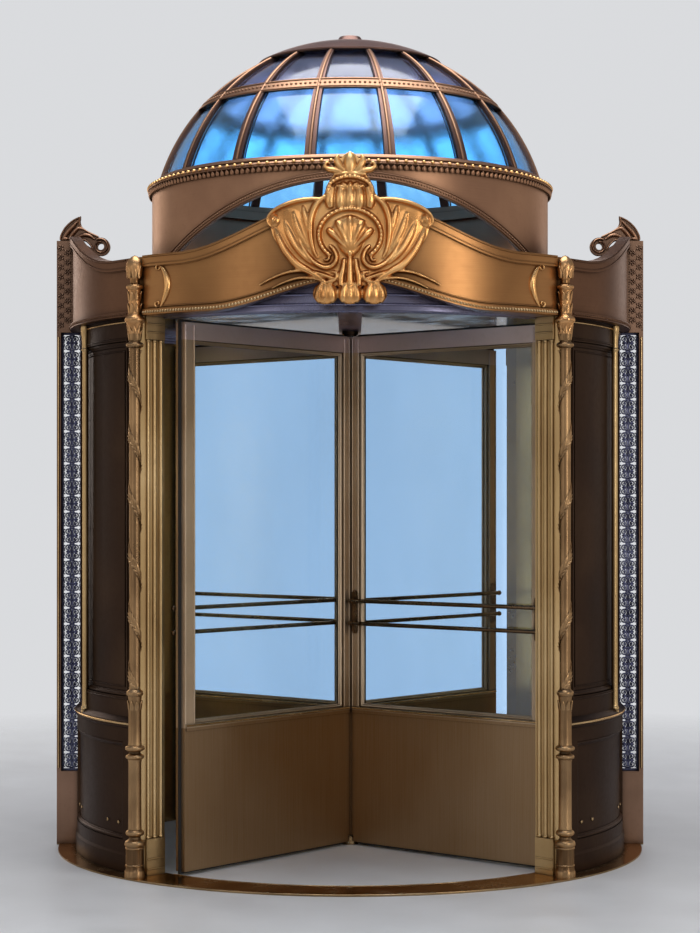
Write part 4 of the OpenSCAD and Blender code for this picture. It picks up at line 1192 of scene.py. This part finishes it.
def make_jamb_caps():
    shapes = []
    middle = DRUM_R + 0.055
    for z0, z1, grow in ((0.150, 0.162, 0.0), (0.142, 0.150, 0.003),
                         (2.131, 2.143, 0.0), (2.143, 2.150, 0.003)):
        ring = bulge(0.0088, 0.0118 + grow * 0.4, z0, z1, 6) + [(0.0085, z1), (0.0085, z0)]
        ring.append(ring[0])
        for r in (middle - 0.033, middle, middle + 0.033):
            shapes.append(turned(ring, 20, on_drum(r, OPENING_HALF, 0)[:2]))
    radial = np.array(outward_at(OPENING_HALF))
    tangent = np.array([-radial[1], radial[0], 0])
    for z in (0.030, 0.070, 2.172, 2.205):
        face = np.array(on_drum(middle, OPENING_HALF, z)) - tangent * 0.0118
        path = [face - radial * 0.044, face + radial * 0.044]
        shapes.append(swept(path, -tangent, half_round(0.008, 0.0028)))
    add_piece("jamb_caps", at_corners(shapes), gilt_post, "surround")


# Canopy: beaded lip, rim lines, consoles beside the columns

def make_canopy_trim():
    beads = bead_item(0.0062)
    pitch = 0.0135
    reach = 0.818
    side_reach = 0.820
    lips = []
    side_lips = []
    front = along_band(arch_z, reach, MOULDING_R - 0.001, 0.010)
    side = along_band(lambda u: WALL_TOP, side_reach, MOULDING_R - 0.001, 0.010)
    for turn in (1, -1):
        lips.append([(x * turn, y * turn, z) for x, y, z in front])
        side_lips += beside_pier(to_side(side, turn))
    add_row("canopy_lip_beads", lips, beads, pitch, brass, "surround")
    add_row("side_lip_beads", side_lips, beads, pitch, side_bronze, "surround")

    rims = []
    side_rims = []
    for rise, width, r in ((-0.044, 0.008, BAND_OUT), (-0.034, 0.004, MOULDING_R),
                           (-0.006, 0.007, MOULDING_R)):
        line = half_round(width, width * 0.6)
        path = along_band(crown_z, reach, r, rise)
        rims.append(swept(path, away_from_axis(path), line))
        for part in beside_pier(along_band(side_z, side_reach, r, rise)):
            points, polygons = swept(part, away_from_axis(part), line)
            side_rims.append((to_side(points, 1), polygons))
    path = along_band(arch_z, 0.800, BAND_OUT, 0.030)
    rims.append(swept(path, away_from_axis(path), half_round(0.007, 0.004)))
    add_piece("side_band_lines", both_faces(side_rims), side_bronze, "surround")
    add_piece("canopy_lines", both_faces(rims), gilt, "surround")

    leaf = [(744, 28, 3, 4), (728, 60, 8, 10), (717, 100, 11, 13), (719, 140, 11, 13), (734, 176, 8, 10),
            (752, 196, 3, 4)]
    head = volute(752, 182, 13, 4, 90, -330, 4, 8, 10)
    foot = volute(756, 40, 13, 4, -90, 330, 4, 8, 10)
    consoles = []
    for stroke in both_ways([leaf, head, foot]):
        points, polygons = ridge(stroke, 4)
        consoles.append((bent(points * 0.001, BAND_OUT, WALL_TOP), polygons))
    add_piece("canopy_consoles", both_faces(consoles), gilt_carved, "surround", sharp=60)

    soffit = []
    for z, half_arc in ((2.258, 34), (2.296, 20)):
        path = [on_drum(RECESS_R, a, z) for a in np.linspace(-half_arc, half_arc, 60)]
        soffit.append(swept(path, away_from_axis(path), half_round(0.010, 0.0045)))
    for r in (1.040, 1.078):
        path = [on_drum(r, a, WALL_TOP) for a in np.linspace(-43.8, 43.8, 90)]
        soffit.append(swept(path, (0.0, 0.0, -1.0), half_round(0.012, 0.005)))
    add_piece("soffit_lines", both_faces(soffit), soffit_bronze_blue_reflection, "surround")


# Attic and cornice

def eyebrow_path(rise, turn):
    """The attic's round arch, rise outside its edge, on the near (1) or the far (-1) side."""
    centre_z = EYEBROW_TOP - EYEBROW_R
    r = EYEBROW_R + rise
    reach = math.sqrt(r ** 2 - (DECK_TOP + 0.03 - centre_z) ** 2)
    path = []
    for i in range(101):
        u = reach * (2 * i / 100 - 1)
        y = -math.sqrt(EYEBROW_FACE_R ** 2 - u * u)
        path.append((turn * u, turn * y, centre_z + math.sqrt(r ** 2 - u * u)))
    return path


def make_attic_trim():
    lines = []
    for turn in (1, -1):
        for rise, width in ((0.005, 0.007), (0.026, 0.006)):
            path = eyebrow_path(rise, turn)
            lines.append(swept(path, away_from_axis(path), half_round(width, width * 0.6)))
    rows = [eyebrow_path(0.0155, turn) for turn in (1, -1)]
    add_row("attic_arch_beads", rows, bead_item(0.0045), 0.0125, attic_bronze, "surround")
    for r, z, width in ((ATTIC_R + 0.012, 2.463, 0.008), (CORNICE_R, 2.8400, 0.005),
                        (CORNICE_R - 0.0005, 2.8460, 0.004)):
        path = circle_path(r, z, 220)[:-1]
        lines.append(swept(path, away_from_axis(path), half_round(width, width * 0.6), closed=True))
    add_piece("attic_lines", lines, attic_bronze, "surround")
    add_row("cornice_beads", [circle_path(CORNICE_R - 0.002, 2.8500, 240)], bead_item(0.0085), 0.0379,
            gilt_carved, "surround")
    leaf = make_mesh("cornice_leaf", leaf_shape(0.022, 0.020, 0.0055, lean=0.004, upright=True))
    add_row("cornice_leaves", [circle_path(CORNICE_R - 0.004, 2.8265, 240)], leaf, 0.0253, attic_bronze,
            "surround")


# Dome: raised line on each rib, beads on the belt, leaves round the boss

def make_dome_trim():
    lines = []
    low = math.asin((CURB_Z + 0.028 - DOME_Z) / DOME_R)
    high = math.asin(math.sqrt(DOME_R ** 2 - CROWN_EDGE_R ** 2) / DOME_R) - 0.012
    for i in range(RIB_COUNT):
        a = (i + 0.5) * 2 * math.pi / RIB_COUNT
        outward = [(math.cos(t) * math.cos(a), math.cos(t) * math.sin(a), math.sin(t))
                   for t in np.linspace(low, high, 26)]
        path = [(DOME_R * x, DOME_R * y, DOME_Z + DOME_R * z) for x, y, z in outward]
        lines.append(swept(path, outward, half_round(0.013, 0.006)))
    belt_face = DOME_R + 0.003
    for up in (BELT_UP - 0.018, BELT_UP + 0.018):
        path = circle_path(math.sqrt(belt_face ** 2 - up * up), DOME_Z + up, 200)[:-1]
        lines.append(swept(path, away_from_axis(path), half_round(0.007, 0.004), closed=True))
    curb = circle_path(0.8504, CURB_Z + 0.012, 200)[:-1]
    lines.append(swept(curb, away_from_axis(curb), half_round(0.010, 0.005), closed=True))
    add_piece("dome_lines", lines, attic_bronze, "surround")
    belt = circle_path(math.sqrt(belt_face ** 2 - BELT_UP ** 2), DOME_Z + BELT_UP, 200)
    add_row("dome_belt_beads", [belt], bead_item(0.0055), 0.0206, attic_bronze, "surround")

    length = 0.110
    start = 0.085
    plate_face = DOME_R + 0.0105
    points, polygons = leaf_shape(length, 0.046, 0.006)
    z0 = DOME_Z + math.sqrt(plate_face ** 2 - start ** 2)
    z1 = DOME_Z + math.sqrt(plate_face ** 2 - (start + length) ** 2)
    t = points[:, 0] / length + 0.5
    x = start + length * t
    z = z0 + (z1 - z0) * t + points[:, 2] - 0.002
    leaf = (np.stack([x, points[:, 1], z], 1), polygons)
    ring = [turn_about_axis(leaf, 30 * k) for k in range(12)]
    add_piece("crown_leaves", ring, gilt_carved, "surround", sharp=60)


# Side piers: scroll finials, rosettes up the heads, and scrollwork in the grilles

def on_pier(shape, s, face):
    """A relief in millimetres from a pier's outer top edge, laid on one face of its scroll."""
    q = np.asarray(shape[0], float) * 0.001
    return np.stack([s * (PIER_R + q[:, 0]), face * (0.0138 + q[:, 2]), side_z(0) + q[:, 1]], 1), shape[1]


def make_pier_finials():
    """Rolled edges, a veined leaf and a wound volute on both faces of the scrolls over the piers."""
    edge = [(-14, 6), (-17, 26), (-36, 60), (-66, 88), (-96, 104)]
    inner = [(-98, 104), (-96, 84), (-104, 62), (-128, 44), (-156, 30), (-178, 20)]
    under = [(-78, 8), (-118, 6), (-136, -6), (-148, -20), (-157, -38)]
    strokes = [[(x, z, 4, 6) for x, z in line] for line in (edge, inner, under)]
    strokes.append([(-24, 4, 8, 8), (-44, 38, 11, 11), (-70, 66, 10, 11), (-92, 90, 5, 6)])
    strokes.append([(-52, 8, 7, 8), (-70, 36, 11, 11), (-92, 56, 9, 9), (-116, 50, 4, 6)])
    strokes.append([(-84, 14, 6, 7), (-112, 26, 9, 10), (-140, 24, 9, 10), (-164, 8, 5, 6)])
    strokes.append(volute(-190, -23, 35, 20, 60, 400, 6.0, 10, 26))
    shapes = [ridge(stroke, 4) for stroke in strokes]
    shapes.append(mound(-34, 10, 17, 9, 11, around=24, up=6))
    pieces = [on_pier(shape, s, face) for s in SIDES for face in SIDES for shape in shapes]
    add_piece("pier_finials", pieces, attic_bronze, "surround", sharp=60)


def make_pier_lace():
    """Two rows of five-petalled rosettes up the piers' heads, between strings of beads, in millimetres."""
    lace = []
    for k in range(9):
        for x, z, tilt in ((1262, 2268 + 42 * k, 0), (1234, 2289 + 42 * k, 45)):
            if z > 2615:
                continue
            for petal in range(5):
                turn = tilt + 72 * petal
                a = math.radians(turn)
                lace.append((x + 9 * math.cos(a), z + 9 * math.sin(a), 7.5, 5.0, 5.0, turn))
            lace.append((x, z, 4.5, 4.5, 6.5, 0))
    for z in range(2246, 2620, 11):
        lace += [(x, z, 3.2, 3.2, 3.6, 0) for x in (1275, 1219)]
    pieces = []
    for x, z, half_w, half_h, high, tilt in lace:
        points, polygons = mound(x, z, half_w, half_h, high, tilt, around=10, up=3)
        across, up, off = (points * 0.001).T
        for s in SIDES:
            for face in SIDES:
                pieces.append((np.stack([s * across, face * (PIER_HALF - 0.0004 + off), up], 1), polygons))
    add_piece("pier_lace", pieces, pier_bronze, "surround", sharp=60)


def lace_unit():
    """One repeat of the lace: four wound scrolls round a rosette, with leaves and buds between them."""
    shapes = []

    def line(points, sx=1, sy=1, lift=0.0):
        return [(sx * p[0] * 0.001, sy * p[1] * 0.001, lift) for p in points]

    for sx in SIDES:
        for sy in SIDES:
            big = line(volute(17, 17, 16, 5, 222, 520, 1, 1, 24), sx, sy)
            shapes.append(rod(big, np.linspace(0.0040, 0.0027, 24), 5))
            small = line(volute(31, 6, 5.5, 2.5, 160, -330, 1, 1, 12), sx, sy, 0.001)
            shapes.append(rod(small, np.linspace(0.0028, 0.0019, 12), 5))
            for x, y, r in ((17, 17, 0.0046), (31.5, 6, 0.0030), (4, 33, 0.0030), (27, 32, 0.0034)):
                bud = [(0.0, -r), (r * 0.8, -r * 0.6), (r, 0.0), (r * 0.8, r * 0.6), (0.0, r)]
                shapes.append(turned(bud, 8, (sx * x * 0.001, sy * y * 0.001)))
            leaf = line(((6, 30), (12, 34), (19, 36), (26, 36)), sx, sy)
            shapes.append(rod(leaf, [0.0012, 0.0034, 0.0036, 0.0010], 6))
            leaf = line(((2, 6), (3, 13), (3, 20), (1, 27)), sx, sy)
            shapes.append(rod(leaf, [0.0022, 0.0042, 0.0036, 0.0010], 6))
    for k in range(8):
        a = math.pi * k / 4
        petal = [(r * math.cos(a), r * math.sin(a), 0.0) for r in (0.003, 0.007, 0.0105)]
        shapes.append(rod(petal, [0.0018, 0.0032, 0.0012], 6))
    for s in SIDES:
        stem = line(((10, 0), (22, 0), (35.2, 0)), s)
        shapes.append(rod(stem, [0.0022, 0.0030, 0.0018], 6))
    shapes.append(turned([(0.0, -0.005), (0.0042, -0.003), (0.0050, 0.0), (0.0042, 0.003), (0.0, 0.005)], 10))
    return make_mesh("lace_unit", joined(shapes))


def make_grille_scrolls():
    x_in, x_out = GRILLE_X
    z_low, z_high = GRILLE_Z
    lap = GRILLE_EDGE - 0.0002
    borders = []
    for s in SIDES:
        for x0, x1, z0, z1 in ((x_in, x_in + GRILLE_EDGE, z_low, z_high),
                               (x_out - GRILLE_EDGE, x_out, z_low, z_high),
                               (x_in + lap, x_out - lap, z_low, z_low + GRILLE_EDGE),
                               (x_in + lap, x_out - lap, z_high - GRILLE_EDGE, z_high)):
            block = [(s * x, y, z) for x, z in ((x0, z0), (x1, z0), (x1, z1), (x0, z1))
                     for y in (-0.005, 0.005)]
            borders.append((block, [[0, 2, 4, 6], [7, 5, 3, 1], [0, 1, 3, 2], [2, 3, 5, 4], [4, 5, 7, 6],
                                    [6, 7, 1, 0]]))
    add_piece("grille_borders", borders, iron, "surround",
              ("side_grille_left", "side_grille_right"))

    x = (x_in + x_out) / 2
    pitch = (z_high - z_low - 2 * GRILLE_EDGE) / GRILLE_RINGS
    low = z_low + GRILLE_EDGE + 0.5 * pitch
    high = z_low + GRILLE_EDGE + (GRILLE_RINGS - 0.5) * pitch
    paths = [[(s * x, 0.0, low), (s * x, 0.0, high)] for s in SIDES]
    add_row("grille_scrolls", paths, lace_unit(), pitch * 0.9999, iron, "surround",
            axis=(0, 9, 0), spread=(0, 1, 0))
    for name, face in (("front", -1), ("back", 1)):
        paths = []
        for s in SIDES:
            for x in (x_in + 0.0045, x_out - 0.0045):
                paths.append([(s * x, face * 0.005, 0.335), (s * x, face * 0.005, 2.225)])
        add_row(f"grille_beads_{name}", paths, bead_item(0.0036, around=8), 0.0105, iron, "surround",
                axis=(0, -9 * face, 0), spread=(0, 1, 0))

    lines = []
    for s in SIDES:
        for face in SIDES:
            for x in (1.163, 1.271):
                path = [(s * x, face * PIER_HALF, 0.335), (s * x, face * PIER_HALF, 2.215)]
                lines.append(swept(path, (0.0, float(face), 0.0), half_round(0.010, 0.005)))
    add_piece("pier_bright_beads", lines, brass, "surround")


# Threshold: screws and two raised lines in each opening

def make_threshold_screws():
    arcs = []
    for r in (1.095, 1.240):
        for start in (-38, 142):
            arcs.append(circle_path(r, 0.0061, 60, start=start, arc=76))
    add_row("threshold_screws", arcs, screw_item(0.0065, 0.0016), 0.118, brass, "surround",
            axis=(0, 0, -9), spread=(0, 0, 1))
    lines = []
    for r in (1.072, 1.262):
        for start in (-41.0, 139.0):
            path = circle_path(r, 0.006, 80, start=start, arc=82.0)
            lines.append(swept(path, (0.0, 0.0, 1.0), half_round(0.005, 0.002)))
    add_piece("threshold_lines", lines, brass, "surround")


# Wings: glazing beads, bright lines and the fixings of the push bars

def on_wings(shapes):
    """Shapes made for a wing that lies along +X, set on all four."""
    return [turn_about_axis(shape, turn) for turn in WING_TURN for shape in shapes]


def make_wing_trim():
    inset = 0.008
    x0 = PANE_X[0] + inset
    x1 = PANE_X[1] - inset
    z0 = PANE_Z[0] + inset
    z1 = PANE_Z[1] - inset
    beads = []
    bright = []
    for face in SIDES:
        outward = (0.0, float(face), 0.0)
        skin = face * WING_T / 2
        y = face * 0.0061
        stop = [(-face * along, off) for along, off in ogee(0.016, 0.0125)]
        beads.append(swept([(x0, y, z0), (x1, y, z0), (x1, y, z1), (x0, y, z1)], outward, stop, closed=True))
        for x in (0.0345, 0.0665, 0.998, 1.046):
            beads.append(swept([(x, skin, 0.606), (x, skin, 2.205)], outward, half_round(0.006, 0.003)))
        band = skin + face * 0.005
        path = [(0.0375, band, 0.5985), (1.043, band, 0.5985)]
        bright.append(swept(path, outward, half_round(0.009, 0.0035)))
    add_piece("glazing_beads", on_wings(beads), wing_bronze, "rotor")
    add_piece("kick_bright_lines", on_wings(bright), brass, "rotor")

    end_points, end_faces = turned([(0.0, -0.004), (0.0085, -0.004), (0.0112, 0.0), (0.0112, 0.004),
                                    (0.0095, 0.009), (0.0055, 0.0120), (0.0, 0.0130)], 20)
    ring = bulge(0.0062, 0.0105, 0.0, 0.006, 6) + [(0.006, 0.006), (0.006, 0.0)]
    ring_points, ring_faces = turned(ring + ring[:1], 20)
    cap = np.array(end_points)
    collar = np.array(ring_points)
    fixings = []
    for z in BAR_Z:
        tip = BAR_POSTS[1] + 0.012
        fixings.append((np.stack([tip + cap[:, 2], cap[:, 0] - BAR_REACH, z + cap[:, 1]], 1), end_faces))
        for x in BAR_POSTS:
            across = x + collar[:, 0]
            fixings.append((np.stack([across, -PLATE_FACE - collar[:, 2], z + collar[:, 1]], 1), ring_faces))
    add_piece("bar_collars", on_wings(fixings), bar_brass, "rotor")

    # a screw's path is a short line, and its head faces away from an axis far behind the wing
    paths = [[(x - 0.001, -PLATE_FACE, z), (x + 0.001, -PLATE_FACE, z)] for x in BAR_POSTS
             for z in (1.100, 0.934, 1.017)]
    screws = shape_of(row_mesh(paths, screw_item(0.0048, 0.0020), 0.01, brass, axis=(0, 900, 0)))
    add_piece("bar_screws", on_wings([screws]), bar_brass, "rotor")


make_crests()
make_columns()
make_wall_mouldings()
make_wall_shafts()
make_jamb_caps()
make_canopy_trim()
make_attic_trim()
make_dome_trim()
make_pier_finials()
make_pier_lace()
make_grille_scrolls()
make_threshold_screws()
make_wing_trim()

bpy.context.view_layer.update()
